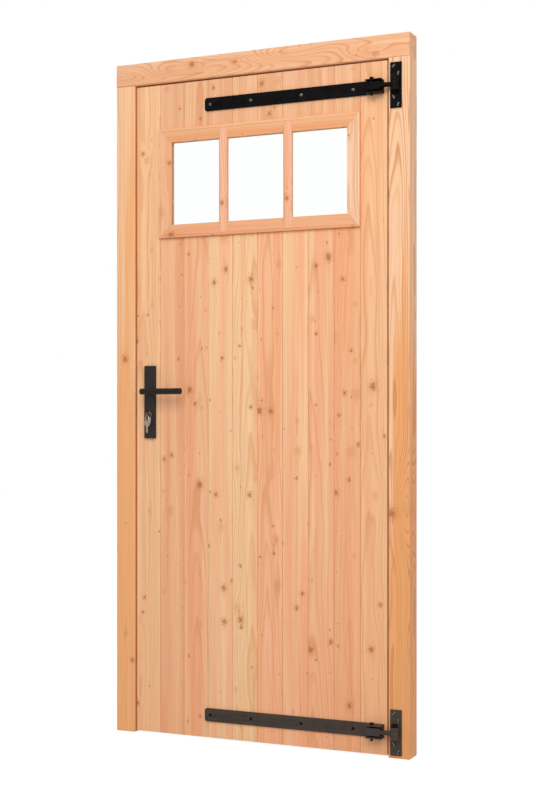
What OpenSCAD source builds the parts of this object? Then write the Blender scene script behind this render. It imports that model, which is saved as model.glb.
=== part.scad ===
// Ledged glazed door leaf in a three-sided rebated timber frame, with strap hinges, lever lock and keys.
// Millimetres. The origin is at floor level, in the middle of the frame's width, on its front face.
// The front faces -Y, +X is to the right as seen from the front, and +Z is up.

/* [Leaf] */
// Width of one board from joint to joint
board_pitch = 83; // [75:1:95]
// Height of the leaf
leaf_height = 2015; // [1950:5:2115]
// Thickness of the boards
board_thick = 18; // [16:1:22]
// Thickness of the stiles, ledges and braces behind the boards
ledge_thick = 24; // [22:1:30]
// Size of the chamfer on each side of a V-joint
vee_size = 1.5; // [1:0.5:4]
// Play between neighbouring boards
board_play = 0.3; // [0.2:0.1:0.8]
// Width of the rear stiles
stile_width = 95; // [85:1:110]
// Height of the sill, lock and bottom ledges
ledge_height = 145; // [120:5:150]

/* [Frame] */
// Width of the jambs on the front face
jamb_width = 65; // [60:1:80]
// Height of the head on the front face
head_height = 70; // [60:1:90]
// Gap between the leaf and the frame at the sides and the top
leaf_gap = 5; // [4:0.5:7]
// Gap between the leaf and the floor
floor_gap = 5; // [4:0.5:12]
// Setback of the leaf behind the front face of the frame
leaf_setback = 6; // [4:0.5:10]
// Depth of the stop behind the leaf
stop_depth = 16; // [14:1:24]
// Projection of the stop past the rebate
stop_lap = 14; // [10:1:18]
// Chamfer on the front edges round the leaf
arris = 3; // [1:0.5:5]
// Diameter of the wall fixing holes
fixing_bore = 8; // [6:0.5:10]
// Height of the lower wall fixing holes
fixing_low = 250; // [200:10:400]
// Distance from the top of the jambs down to the upper wall fixing holes
fixing_drop = 175; // [150:5:400]

/* [Window] */
// Distance from the top of the leaf to the top of the casing
window_drop = 141; // [138:1:170]
// Height of the casing
window_height = 337; // [300:1:420]
// Width of the casing members
casing_width = 41; // [38:1:50]
// Projection of the casing in front of the boards
casing_proud = 9; // [6:0.5:14]
// Width of the flat lip round the casing
casing_lip = 8; // [5:0.5:12]
// Fall of the casing's face from the lip to the glass
casing_fall = 5; // [3:0.5:6]
// Lap of the stiles and ledges behind the casing
casing_lap = 12; // [8:1:14]
// Width of the glazing bars
bar_width = 28; // [22:1:36]
// Distance of the left glazing bar from the window's middle
left_bar_offset = 112; // [100:1:120]
// Distance of the right glazing bar from the window's middle
right_bar_offset = 102; // [95:1:115]
// Thickness of the glass
glass_thick = 4; // [3:0.5:6]
// Bedding between the glass and the wood
glass_bed = 0.5; // [0.2:0.1:0.8]

/* [Hinges] */
// Height of the lower hinge
hinge_low = 75; // [72:1:85]
// Distance from the top of the leaf to the upper hinge
hinge_drop = 76; // [70:1:90]
// Length of the straps
strap_length = 580; // [540:5:585]
// Height of the straps
strap_height = 40; // [36:1:44]
// Thickness of the straps
strap_thick = 5; // [4:0.5:6]
// Distance from the strap's end to the edge of the leaf
strap_inset = 9; // [5:0.5:12]
// Width of the hinge plates
plate_width = 35; // [33:0.5:40]
// Length of the hinge plates
plate_length = 132; // [125:1:134]
// Thickness of the hinge plates
plate_thick = 4; // [3:0.5:5]
// Diameter of the hinge pins
pin_dia = 10; // [8:0.5:12]
// Diameter of the eyes and lugs
eye_dia = 24; // [22:0.5:26]
// Diameter of the eye bolt's rod
rod_dia = 13; // [11:0.5:14]

/* [Lock and handle] */
// Distance from the edge of the leaf to the lock's axes
backset = 50; // [46:1:55]
// Rise of the lever's axis above the middle of the leaf's height
lever_rise = 53.5; // [30:0.5:70]
// Distance from the lever's axis down to the cylinder's axis
cylinder_drop = 72; // [70:0.5:74]
// Width of the handle plates
handle_width = 38; // [34:1:44]
// Height of the handle plates
handle_height = 226; // [218:1:236]
// Thickness of the handle plates
handle_thick = 8; // [6:0.5:9]
// Diameter of the lever
lever_dia = 19; // [16:0.5:20]
// Length of the lever past its axis
lever_reach = 128; // [110:1:140]
// Distance from the handle plate to the lever's own axis
lever_standoff = 36; // [34:1:45]
// Travel of the latch bolt
latch_travel = 12; // [8:0.5:14]
// Projection of the latch bolt past the leaf's edge at rest
latch_proud = 3; // [1:0.5:3]
// Travel of the deadbolt
bolt_travel = 20; // [14:0.5:22]

/* [Hidden] */
$fn = 48;
board_count = 10;
window_boards = 8;
play = 0.2;
running = 0.05;
eye_float = 0.3;
cut = 1;

// Leaf and frame
leaf_width = board_count * board_pitch;
leaf_left = -leaf_width / 2;
leaf_right = leaf_width / 2;
leaf_foot = floor_gap;
leaf_top = floor_gap + leaf_height;
lever_height = leaf_foot + leaf_height / 2 + lever_rise;
cylinder_height = lever_height - cylinder_drop;
leaf_front = leaf_setback;
board_back = leaf_front + board_thick;
leaf_back = board_back + ledge_thick;
rebate_half = leaf_width / 2 + leaf_gap;
rebate_top = leaf_top + leaf_gap;
stop_clear = 1;
stop_front = leaf_back + stop_clear;
frame_depth = stop_front + stop_depth;
frame_half = rebate_half + jamb_width;
frame_top = rebate_top + head_height;
fixing_heights = [fixing_low, rebate_top - fixing_drop];

// Boards
tongue_thick = 6;
tongue_length = 6;
groove_spare = 0.5;
groove_depth = tongue_length + groove_spare;

// Window
window_half = window_boards * board_pitch / 2;
window_top = leaf_top - window_drop;
window_foot = window_top - window_height;
casing_front = leaf_front - casing_proud;
lip_step = 1;
glass_rebate = 12;
rebate_shoulder = 4.5;
glass_front = leaf_front + rebate_shoulder + glass_bed;
glass_back = glass_front + glass_thick;
glass_inset = casing_width - glass_rebate + play * 2;
bar_setback = 0.5;
bar_front = casing_front + bar_setback;
bar_back = glass_front - glass_bed;
bar_bevel = 4;

// Rear frame
stile_inner = leaf_width / 2 - stile_width;
top_ledge_foot = window_top - casing_lap;
sill_ledge_top = window_foot + casing_lap;
lock_ledge_foot = (lever_height + cylinder_height - ledge_height) / 2;
lock_ledge_top = lock_ledge_foot + ledge_height;
bottom_ledge_top = leaf_foot + ledge_height;
sill_ledge_foot = sill_ledge_top - ledge_height;
lower_brace_cut = 120;
upper_brace_cut = 180;

// Hinges
hinge_high = leaf_top - hinge_drop;
hinge_heights = [hinge_low, hinge_high];
plate_inset = 7;
plate_centre = rebate_half + plate_inset + plate_width / 2;
pivot_x = plate_centre;
pivot_clear = 0.5;
pivot_y = -plate_thick - pivot_clear - eye_dia / 2;
eye_height = 16;
lug_height = 10;
lug_foot = eye_height / 2 + eye_float;
lug_top = lug_foot + lug_height;
pin_head_dia = 20;
pin_head_height = 9;
pin_tip = 3;
pin_chamfer = 1;
pin_shoulder = pin_tip + 2 * lug_top;
strap_right = leaf_right - strap_inset;
strap_left = strap_right - strap_length;
strap_front = leaf_front - strap_thick;
strap_corner = 5;
strap_end_screw = 18;
strap_first_screw = 95;
strap_screw_pitch = 165;
strap_screws = [
    strap_left + strap_end_screw,
    for (i = [0:2]) strap_right - strap_first_screw - i * strap_screw_pitch
];
cheek_thick = 4;
bracket_length = 49;
bracket_left = strap_right - bracket_length;
cheek_reach = 7;
cheek_front = pivot_y - cheek_reach;
tail_height = 22;
tail_thick = 13;
tail_length = 42;
tail_setback = 3;
tail_left = bracket_left + tail_setback;
pad_front = pivot_y + tail_thick / 2 + play;
clamp_inset = 18;
clamp_x = bracket_left + clamp_inset;
clamp_dia = 8;
clamp_head_dia = 13;
clamp_head_height = 6;
clamp_tip = 8;
clamp_point = 3;

// Screws, countersunk
screw_dia = 5;
screw_head_dia = 9.5;
screw_head_height = 2.8;
screw_length = 32;
plate_screw_side = 7;
plate_screw_end = 10;
plate_screw_inner = 34;
plate_screws = [
    [-plate_screw_side, plate_length / 2 - plate_screw_end],
    [plate_screw_side, plate_screw_inner],
    [-plate_screw_side, -plate_screw_inner],
    [plate_screw_side, plate_screw_end - plate_length / 2]
];

// Lock and handle
lock_x = leaf_left + backset;
leaf_middle = (leaf_front + leaf_back) / 2;
case_thick = 16;
case_under = 36;
case_over = 39;
case_behind = 25;
case_foot = cylinder_height - case_under;
case_top = lever_height + case_over;
forend_thick = 3;
forend_width = 24;
forend_over = 33;
case_left = leaf_left + forend_thick;
case_right = lock_x + case_behind;
case_play = 0.3;
latch_thick = 11;
latch_height = 22;
latch_rise = 22;
latch_setback = 2;
latch_z = lever_height + latch_rise;
latch_tail = lock_x - latch_setback;
bolt_thick = 11;
bolt_height = 28;
bolt_rise = 30;
bolt_setback = 6;
bolt_z = cylinder_height + bolt_rise;
bolt_tail = lock_x - bolt_setback;
bolt_play = 0.4;
strike_thick = 2.5;
strike_over = 20;
strike_screw_inset = 9;
pocket_spare = 4;
pocket_side = 1;
pocket_end = 1.5;
pocket_deep = bolt_travel + pocket_spare;
outer_plate_front = leaf_front - handle_thick;
inner_plate_back = leaf_back + handle_thick;
handle_lift = 4;
handle_middle = (lever_height + cylinder_height) / 2 + handle_lift;
handle_top = handle_middle + handle_height / 2;
handle_foot = handle_middle - handle_height / 2;
handle_corner = 3;
handle_bolt_inset = 13;
handle_bolt_dia = 5;
handle_bolt_grip = 5;
handle_bolt_head = 9;
handle_bolt_head_height = 2.5;
neck_dia = 17;
neck_collar = 22;
neck_collar_height = 3;
lever_tail = 12;
lever_edge = 0.8;
spindle_side = 8;
spindle_bore = 13;
spindle_seat = 14;
spindle_play = 0.1;
cylinder_proud = 2;
cylinder_round = 17;
cylinder_web = 10;
cylinder_total = 33;
plug_dia = 13;
plug_length = 28;
cam_width = 10;
key_thick = 2.4;
key_blade = 8;
key_bow = 20;
key_hole = 7;
key_bow_gap = 2;
ring_mean = 15;
ring_wire = 1.6;
ring_turn = 25;
ring_play = 0.35;
key_seat = key_hole / 2 - ring_wire / 2 - ring_play;
spare_bow = 18;
spare_length = 37;
spare_blade = 7;
spare_rim = 1;
key_hole_reach = 14.5;
key_plane = outer_plate_front - cylinder_proud - key_hole_reach;

WOOD = "burlywood";
WOOD_DARK = "tan";
BLACK = "dimgray";
STEEL = "silver";
FRAME_NODES = ["left_jamb", "right_jamb", "head", "strike_plate", "upper_hinge_plate", "lower_hinge_plate",
    "hinge_pins", "frame_screws"];
BOARD_NODES = concat(["left_board", "right_board"], [for (i = [1:window_boards]) str("lower_board_", i)],
    [for (i = [1:window_boards]) str("upper_board_", i)]);
REAR_NODES = ["left_stile", "right_stile", "top_ledge", "sill_ledge", "lock_ledge", "bottom_ledge",
    "upper_brace", "lower_brace"];
WINDOW_NODES = ["casing_top", "casing_bottom", "casing_left", "casing_right", "left_bar", "right_bar",
    "glass_pane", "rear_beads"];
HINGE_NODES = ["upper_strap", "lower_strap", "upper_eye_bolt", "lower_eye_bolt", "clamp_bolts",
    "leaf_screws"];
LOCK_NODES = ["lock_case", "cylinder", "outer_plate", "inner_plate", "outer_lever", "inner_lever", "spindle",
    "latch_bolt", "deadbolt", "key", "key_ring", "spare_key"];

// A box between two opposite corners.
module block(low, high) {
    translate(low) cube(high - low);
}

// A cylinder along Y that starts at y and runs towards the back.
module bore_y(x, y, z, dia, length) {
    translate([x, y, z]) rotate([-90, 0, 0]) cylinder(d = dia, h = length);
}

// A flat piece cut from an outline in the front view, from one depth to another.
module front_sheet(y_from, y_to) {
    translate([0, y_to, 0]) rotate([90, 0, 0]) linear_extrude(y_to - y_from) children();
}

// A wood screw along +Y, its countersunk head flush with the plane y = 0.
module wood_screw() {
    rotate([-90, 0, 0]) {
        cylinder(d1 = screw_head_dia, d2 = screw_dia, h = screw_head_height);
        cylinder(d = screw_dia, h = screw_length);
    }
}

// Frame

// Section of a jamb in plan, for the right side.
module jamb_section() {
    polygon([
        [rebate_half + arris, 0], [frame_half - arris, 0], [frame_half, arris], [frame_half, frame_depth],
        [rebate_half - stop_lap, frame_depth], [rebate_half - stop_lap, stop_front],
        [rebate_half, stop_front], [rebate_half, arris]
    ]);
}

// A right-hand jamb with its two wall fixing holes.
module jamb() {
    difference() {
        linear_extrude(rebate_top) jamb_section();
        for (z = fixing_heights)
            translate([rebate_half - stop_lap - cut, stop_front + stop_depth / 2, z])
                rotate([0, 90, 0]) cylinder(d = fixing_bore, h = jamb_width + stop_lap + 2 * cut);
    }
}

module left_jamb() {
    color(WOOD) difference() {
        mirror([1, 0, 0]) jamb();
        block([-rebate_half - strike_thick, leaf_middle - forend_width / 2 - play, strike_foot() - play],
            [-rebate_half + cut, leaf_middle + forend_width / 2 + play, strike_top() + play]);
        bolt_pocket(latch_z, latch_height, latch_thick);
        bolt_pocket(bolt_z, bolt_height, bolt_thick);
        strike_screws();
    }
}

module right_jamb() {
    color(WOOD) difference() {
        jamb();
        for (z = hinge_heights) plate_screw_set(z);
    }
}

module head() {
    color(WOOD) {
        rotate([0, -90, 0]) translate([0, 0, -frame_half]) linear_extrude(frame_half * 2)
            polygon([
                [rebate_top + arris, 0], [frame_top - arris, 0], [frame_top, arris],
                [frame_top, frame_depth], [rebate_top, frame_depth], [rebate_top, arris]
            ]);
        block([-rebate_half + stop_lap + play, stop_front, rebate_top - stop_lap],
            [rebate_half - stop_lap - play, frame_depth, rebate_top]);
    }
}

function strike_foot() = bolt_z - bolt_height / 2 - strike_over;
function strike_top() = latch_z + latch_height / 2 + strike_over;

// The pocket in the jamb, or the opening in the strike plate, that a bolt of this size goes into.
module bolt_pocket(z, height, thick) {
    block([-rebate_half - pocket_deep, leaf_middle - thick / 2 - pocket_side, z - height / 2 - pocket_end],
        [-rebate_half + cut, leaf_middle + thick / 2 + pocket_side, z + height / 2 + pocket_end]);
}

module strike_screws() {
    for (z = [strike_foot() + strike_screw_inset, strike_top() - strike_screw_inset])
        translate([-rebate_half, leaf_middle, z]) rotate([0, 0, 90]) wood_screw();
}

module strike_plate() {
    color(STEEL) difference() {
        block([-rebate_half - strike_thick, leaf_middle - forend_width / 2, strike_foot()],
            [-rebate_half, leaf_middle + forend_width / 2, strike_top()]);
        bolt_pocket(latch_z, latch_height, latch_thick);
        bolt_pocket(bolt_z, bolt_height, bolt_thick);
        strike_screws();
    }
}

module plate_screw_set(z) {
    for (at = plate_screws)
        translate([plate_centre + at[0], -plate_thick, z + at[1]]) wood_screw();
}

// A hinge plate with two lugs that hold the hinge pin above and below the eye.
module hinge_plate(z) {
    color(BLACK) difference() {
        union() {
            block([plate_centre - plate_width / 2, -plate_thick, z - plate_length / 2],
                [plate_centre + plate_width / 2, 0, z + plate_length / 2]);
            for (foot = [z - lug_top, z + lug_foot]) {
                translate([pivot_x, pivot_y, foot]) cylinder(d = eye_dia, h = lug_height);
                block([pivot_x - eye_dia / 2, pivot_y, foot],
                    [pivot_x + eye_dia / 2, -plate_thick + cut, foot + lug_height]);
            }
        }
        translate([pivot_x, pivot_y, z - lug_top - cut]) cylinder(d = pin_dia, h = 2 * (lug_top + cut));
        plate_screw_set(z);
    }
}

module upper_hinge_plate() {
    hinge_plate(hinge_high);
}

module lower_hinge_plate() {
    hinge_plate(hinge_low);
}

// Hinge pins, with a domed head on the upper lug.
module hinge_pins() {
    top = pin_shoulder + pin_head_height;
    color(BLACK) for (z = hinge_heights) translate([pivot_x, pivot_y, z - lug_top - pin_tip]) rotate_extrude()
        polygon([
            [0, 0], [pin_dia / 2 - pin_chamfer, 0], [pin_dia / 2, pin_chamfer], [pin_dia / 2, pin_shoulder],
            [pin_head_dia / 2, pin_shoulder], [pin_head_dia / 2, top - pin_head_height / 2],
            [pin_head_dia / 3, top], [0, top]
        ]);
}

module frame_screws() {
    color(BLACK) {
        for (z = hinge_heights) plate_screw_set(z);
        strike_screws();
    }
}

// Boards

// Section of one board in plan, its left joint at x = 0. Outer boards have a plain outer edge.
module board_section(first, last) {
    half_play = board_play / 2;
    left = first ? 0 : half_play;
    right = last ? board_pitch : board_pitch - half_play;
    middle = (leaf_front + board_back) / 2;
    difference() {
        union() {
            polygon([
                [left + vee_size, leaf_front], [right - vee_size, leaf_front],
                [right, leaf_front + vee_size], [right, board_back],
                [left, board_back], [left, leaf_front + vee_size]
            ]);
            if (!last) translate([right - cut, middle - tongue_thick / 2 + play / 2])
                square([tongue_length + cut, tongue_thick - play]);
        }
        if (!first) translate([left - cut, middle - tongue_thick / 2 - play / 2])
            square([groove_depth + cut, tongue_thick + play]);
    }
}

// Board number i from the left, from one height to another.
module board(i, foot, top) {
    translate([leaf_left + i * board_pitch, 0, foot])
        linear_extrude(top - foot) board_section(i == 0, i == board_count - 1);
}

module left_board() {
    color(WOOD) difference() {
        board(0, leaf_foot, leaf_top);
        lock_cuts();
        block([leaf_left + board_pitch - board_play / 2, leaf_front, window_foot - play],
            [leaf_left + board_pitch + tongue_length + cut, board_back, window_top + play]);
    }
}

module right_board() {
    color(WOOD_DARK) board(board_count - 1, leaf_foot, leaf_top);
}

module lower_board(i) {
    color(i % 2 == 0 ? WOOD : WOOD_DARK) difference() {
        board(i, leaf_foot, window_foot - play);
        strap_screw_set(hinge_low);
    }
}

module upper_board(i) {
    color(i % 2 == 0 ? WOOD : WOOD_DARK) difference() {
        board(i, window_top + play, leaf_top);
        strap_screw_set(hinge_high);
    }
}

// Rear frame

module left_stile() {
    color(WOOD_DARK) difference() {
        block([leaf_left, board_back, leaf_foot], [-stile_inner, leaf_back, leaf_top]);
        lock_cuts();
    }
}

module right_stile() {
    color(WOOD_DARK) block([stile_inner, board_back, leaf_foot], [leaf_right, leaf_back, leaf_top]);
}

// A ledge between the stiles, drilled for the strap screws that reach it.
module ledge(foot, top) {
    color(WOOD_DARK) difference() {
        block([-stile_inner, board_back, foot], [stile_inner, leaf_back, top]);
        for (z = hinge_heights) strap_screw_set(z);
    }
}

module top_ledge() {
    ledge(top_ledge_foot, leaf_top);
}

module sill_ledge() {
    ledge(sill_ledge_foot, sill_ledge_top);
}

module lock_ledge() {
    ledge(lock_ledge_foot, lock_ledge_top);
}

module bottom_ledge() {
    ledge(leaf_foot, bottom_ledge_top);
}

// A brace that rises from the hinge side to the lock side between two ledges.
module brace(foot, top, cut) {
    color(WOOD_DARK) front_sheet(board_back, leaf_back) polygon([
        [stile_inner - cut, foot], [stile_inner, foot], [-stile_inner + cut, top], [-stile_inner, top]
    ]);
}

module upper_brace() {
    brace(lock_ledge_top, sill_ledge_foot, upper_brace_cut);
}

module lower_brace() {
    brace(bottom_ledge_top, lock_ledge_foot, lower_brace_cut);
}

// Window

// Section of a casing member: x runs from its outer edge to the glass, y is depth.
module casing_section() {
    polygon([
        [0, casing_front], [casing_lip, casing_front], [casing_lip, casing_front + lip_step],
        [casing_width, casing_front + lip_step + casing_fall], [casing_width, glass_front - glass_bed],
        [casing_width - glass_rebate, glass_front - glass_bed], [casing_width - glass_rebate, board_back],
        [0, board_back]
    ]);
}

// Lower member of the casing, mitred at both ends.
module casing_rail(half) {
    intersection() {
        rotate([0, -90, 0]) translate([0, 0, -half]) linear_extrude(half * 2) casing_section();
        front_sheet(casing_front - cut, board_back + cut) polygon([
            [-half, 0], [half, 0], [half - casing_width, casing_width], [casing_width - half, casing_width]
        ]);
    }
}

module casing_bottom() {
    color(WOOD) translate([0, 0, window_foot]) casing_rail(window_half);
}

module casing_top() {
    color(WOOD) translate([0, 0, window_top]) mirror([0, 0, 1]) casing_rail(window_half);
}

// Right member of the casing, as a lower member turned up on its end.
module casing_post() {
    translate([window_half, 0, (window_foot + window_top) / 2])
        rotate([0, -90, 0]) casing_rail(window_height / 2);
}

module casing_right() {
    color(WOOD) casing_post();
}

module casing_left() {
    color(WOOD) mirror([1, 0, 0]) casing_post();
}

// A glazing bar planted over the casing between its lips, seated on the casing's sloping faces.
module glazing_bar(x) {
    foot = window_foot + casing_lip + play;
    top = window_top - casing_lip - play;
    color(WOOD) difference() {
        translate([x, 0, foot]) linear_extrude(top - foot)
            polygon([
                [-bar_width / 2 + bar_bevel, bar_front], [bar_width / 2 - bar_bevel, bar_front],
                [bar_width / 2, bar_front + bar_bevel], [bar_width / 2, bar_back],
                [-bar_width / 2, bar_back], [-bar_width / 2, bar_front + bar_bevel]
            ]);
        casing_bottom();
        casing_top();
    }
}

module left_bar() {
    glazing_bar(-left_bar_offset);
}

module right_bar() {
    glazing_bar(right_bar_offset);
}

module glass_pane() {
    color("lightcyan", 0.4) block([-window_half + glass_inset, glass_front, window_foot + glass_inset],
        [window_half - glass_inset, glass_back, window_top - glass_inset]);
}

// Four beads behind the glass, in the casing's rebate.
module rear_beads() {
    y_from = glass_back + glass_bed;
    bead = glass_rebate - play * 2;
    half = window_half - glass_inset;
    foot = window_foot + glass_inset;
    top = window_top - glass_inset;
    color(WOOD_DARK) {
        for (z = [foot, top - bead]) block([-half, y_from, z], [half, board_back, z + bead]);
        for (x = [-half, half - bead])
            block([x, y_from, foot + bead + play], [x + bead, board_back, top - bead - play]);
    }
}

// Hinge straps

module strap_screw_set(z) {
    for (x = strap_screws) translate([x, strap_front, z]) wood_screw();
}

// A strap with the bracket that holds its eye bolt: a pad on the strap and a cheek above and below.
module strap(z) {
    half = strap_height / 2;
    color(BLACK) difference() {
        union() {
            front_sheet(strap_front, leaf_front) polygon([
                [strap_left + strap_corner, z - half], [strap_right, z - half], [strap_right, z + half],
                [strap_left + strap_corner, z + half], [strap_left, z + half - strap_corner],
                [strap_left, z - half + strap_corner]
            ]);
            block([bracket_left, pad_front, z - half], [strap_right, strap_front + cut, z + half]);
            for (foot = [z - half, z + half - cheek_thick])
                block([bracket_left, cheek_front, foot], [strap_right, pad_front + cut, foot + cheek_thick]);
        }
        strap_screw_set(z);
        translate([clamp_x, pivot_y, z - half - cut]) cylinder(d = clamp_dia, h = strap_height + 2 * cut);
    }
}

module upper_strap() {
    strap(hinge_high);
}

module lower_strap() {
    strap(hinge_low);
}

// An eye bolt: the eye turns on the hinge pin, and the square tail sits between the bracket's cheeks.
module eye_bolt(z) {
    color(BLACK) difference() {
        union() {
            translate([pivot_x, pivot_y, z - eye_height / 2]) cylinder(d = eye_dia, h = eye_height);
            translate([tail_left + cut, pivot_y, z]) rotate([0, 90, 0])
                cylinder(d = rod_dia, h = pivot_x - pin_dia - tail_left - cut);
            block([tail_left, pivot_y - tail_thick / 2, z - tail_height / 2],
                [tail_left + tail_length, pivot_y + tail_thick / 2, z + tail_height / 2]);
        }
        translate([pivot_x, pivot_y, z - eye_height])
            cylinder(d = pin_dia + 2 * running, h = eye_height * 2);
        translate([clamp_x, pivot_y, z - tail_height]) cylinder(d = clamp_dia, h = tail_height * 2);
    }
}

module upper_eye_bolt() {
    eye_bolt(hinge_high);
}

module lower_eye_bolt() {
    eye_bolt(hinge_low);
}

// Upright bolts through the brackets, with a hexagon head above and a pointed end below.
module clamp_bolts() {
    half = strap_height / 2;
    color(BLACK) for (z = hinge_heights) translate([clamp_x, pivot_y, z]) {
        translate([0, 0, half]) cylinder(d = clamp_head_dia, h = clamp_head_height, $fn = 6);
        translate([0, 0, clamp_point - half - clamp_tip])
            cylinder(d = clamp_dia, h = strap_height + clamp_tip - clamp_point);
        translate([0, 0, -half - clamp_tip]) cylinder(d1 = clamp_dia / 2, d2 = clamp_dia, h = clamp_point);
    }
}

// Lock

// Profile of a euro cylinder in the front view, grown by a margin.
module cylinder_profile(margin) {
    translate([lock_x, cylinder_height]) {
        circle(d = cylinder_round + 2 * margin);
        translate([-cylinder_web / 2 - margin, cylinder_round / 2 - cylinder_total - margin])
            square([cylinder_web + 2 * margin, cylinder_total - cylinder_round / 2 + margin]);
        translate([0, cylinder_round / 2 + cylinder_web / 2 - cylinder_total])
            circle(d = cylinder_web + 2 * margin);
    }
}

// What the lock and the handle cut out of the board and the stile.
module lock_cuts() {
    block([leaf_left - cut, leaf_middle - forend_width / 2 - play, forend_foot() - play],
        [case_left, leaf_middle + forend_width / 2 + play, forend_top() + play]);
    through = leaf_back - leaf_front + 2 * cut;
    block([leaf_left - cut, leaf_middle - case_thick / 2 - play, case_foot - play],
        [case_right + play, leaf_middle + case_thick / 2 + play, case_top + play]);
    bore_y(lock_x, leaf_front - cut, lever_height, spindle_bore, through);
    front_sheet(leaf_front - cut, leaf_back + cut) cylinder_profile(play * 2);
    for (z = handle_bolt_heights()) bore_y(lock_x, leaf_front - cut, z, handle_bolt_dia, through);
}

function forend_foot() = case_foot - forend_over;
function forend_top() = case_top + forend_over;
function handle_bolt_heights() = [handle_foot + handle_bolt_inset, handle_top - handle_bolt_inset];

// The way a bolt runs in the lock case.
module bolt_way(z, height, thick, right) {
    block([leaf_left - cut, leaf_middle - thick / 2 - case_play, z - height / 2 - case_play],
        [right, leaf_middle + thick / 2 + case_play, z + height / 2 + case_play]);
}

module lock_case() {
    color(STEEL) difference() {
        union() {
            block([case_left - cut, leaf_middle - case_thick / 2, case_foot],
                [case_right, leaf_middle + case_thick / 2, case_top]);
            block([leaf_left, leaf_middle - forend_width / 2, forend_foot()],
                [case_left, leaf_middle + forend_width / 2, forend_top()]);
        }
        bore_y(lock_x, leaf_front, lever_height, spindle_bore, leaf_back - leaf_front);
        front_sheet(leaf_front, leaf_back) cylinder_profile(play * 2);
        bolt_way(latch_z, latch_height, latch_thick, latch_tail + latch_travel + cut);
        bolt_way(bolt_z, bolt_height, bolt_thick, bolt_tail + cut);
    }
}

// The latch bolt, its nose sloped towards the stop so that the leaf pushes it in as it closes.
module latch_bolt() {
    nose = leaf_left - latch_proud;
    slope = latch_proud + forend_thick;
    color(STEEL) translate([0, 0, latch_z - latch_height / 2]) linear_extrude(latch_height) polygon([
        [nose, leaf_middle - latch_thick / 2], [latch_tail, leaf_middle - latch_thick / 2],
        [latch_tail, leaf_middle + latch_thick / 2], [nose + slope, leaf_middle + latch_thick / 2],
        [nose, leaf_middle]
    ]);
}

// The deadbolt, drawn back flush with the forend.
module deadbolt() {
    color(STEEL) block([leaf_left + bolt_play, leaf_middle - bolt_thick / 2, bolt_z - bolt_height / 2],
        [bolt_tail, leaf_middle + bolt_thick / 2, bolt_z + bolt_height / 2]);
}

// A handle plate between two depths, with its openings for lever neck, cylinder and bolts.
module handle_plate(y_from, y_to) {
    color(BLACK) difference() {
        front_sheet(y_from, y_to) difference() {
            translate([lock_x - handle_width / 2 + handle_corner, handle_foot + handle_corner])
                offset(r = handle_corner, $fn = 32)
                    square([handle_width - 2 * handle_corner, handle_height - 2 * handle_corner]);
            cylinder_profile(play);
        }
        bore_y(lock_x, y_from - cut, lever_height, neck_dia + 2 * running, y_to - y_from + 2 * cut);
        handle_bolt_shanks();
    }
}

module outer_plate() {
    handle_plate(outer_plate_front, leaf_front);
}

module inner_plate() {
    difference() {
        handle_plate(leaf_back, inner_plate_back);
        handle_bolt_heads();
    }
}

// The bolts' shanks, screwed into the back of the outer plate.
module handle_bolt_shanks() {
    start = leaf_front - handle_bolt_grip;
    for (z = handle_bolt_heights()) bore_y(lock_x, start, z, handle_bolt_dia, inner_plate_back - start);
}

module handle_bolt_heads() {
    start = inner_plate_back - handle_bolt_head_height;
    for (z = handle_bolt_heights()) bore_y(lock_x, start, z, handle_bolt_head, handle_bolt_head_height);
}

// Strap screws, and the bolts that draw the two handle plates together.
module leaf_screws() {
    color(BLACK) {
        for (z = hinge_heights) strap_screw_set(z);
        handle_bolt_shanks();
        handle_bolt_heads();
    }
}

// A lever for the outer side: a neck that turns in the plate, a collar, and a straight round grip.
module lever() {
    bar_y = outer_plate_front - lever_standoff;
    neck_end = leaf_front - spindle_play;
    grip_end = lever_tail + lever_reach;
    seat = spindle_side / 2 + spindle_play;
    color(BLACK) difference() {
        union() {
            bore_y(lock_x, bar_y, lever_height, neck_dia, neck_end - bar_y);
            bore_y(lock_x, outer_plate_front - eye_float - neck_collar_height, lever_height, neck_collar,
                neck_collar_height);
            translate([lock_x - lever_tail, bar_y, lever_height]) rotate([0, 90, 0]) rotate_extrude()
                polygon([
                    [0, 0], [lever_dia / 2 - lever_edge, 0], [lever_dia / 2, lever_edge],
                    [lever_dia / 2, grip_end - lever_edge], [lever_dia / 2 - lever_edge, grip_end],
                    [0, grip_end]
                ]);
        }
        block([lock_x - seat, neck_end - spindle_seat, lever_height - seat],
            [lock_x + seat, neck_end + cut, lever_height + seat]);
    }
}

module outer_lever() {
    lever();
}

module inner_lever() {
    translate([0, 2 * leaf_middle, 0]) mirror([0, 1, 0]) lever();
}

module spindle() {
    half = spindle_side / 2;
    seat = spindle_seat - spindle_play * 2;
    color(STEEL) block([lock_x - half, leaf_front - seat, lever_height - half],
        [lock_x + half, leaf_back + seat, lever_height + half]);
}

module cylinder_body() {
    front = outer_plate_front - cylinder_proud;
    color(STEEL) difference() {
        front_sheet(front, inner_plate_back + cylinder_proud) cylinder_profile(0);
        bore_y(lock_x, front - cut, cylinder_height, plug_dia + 2 * running, plug_length + cut + eye_float);
        block([lock_x - cylinder_round, leaf_middle - cam_width / 2, cylinder_height - cylinder_round / 2],
            [lock_x + cylinder_round, leaf_middle + cam_width / 2, cylinder_height - plug_dia / 2]);
    }
}

// Keys

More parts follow.
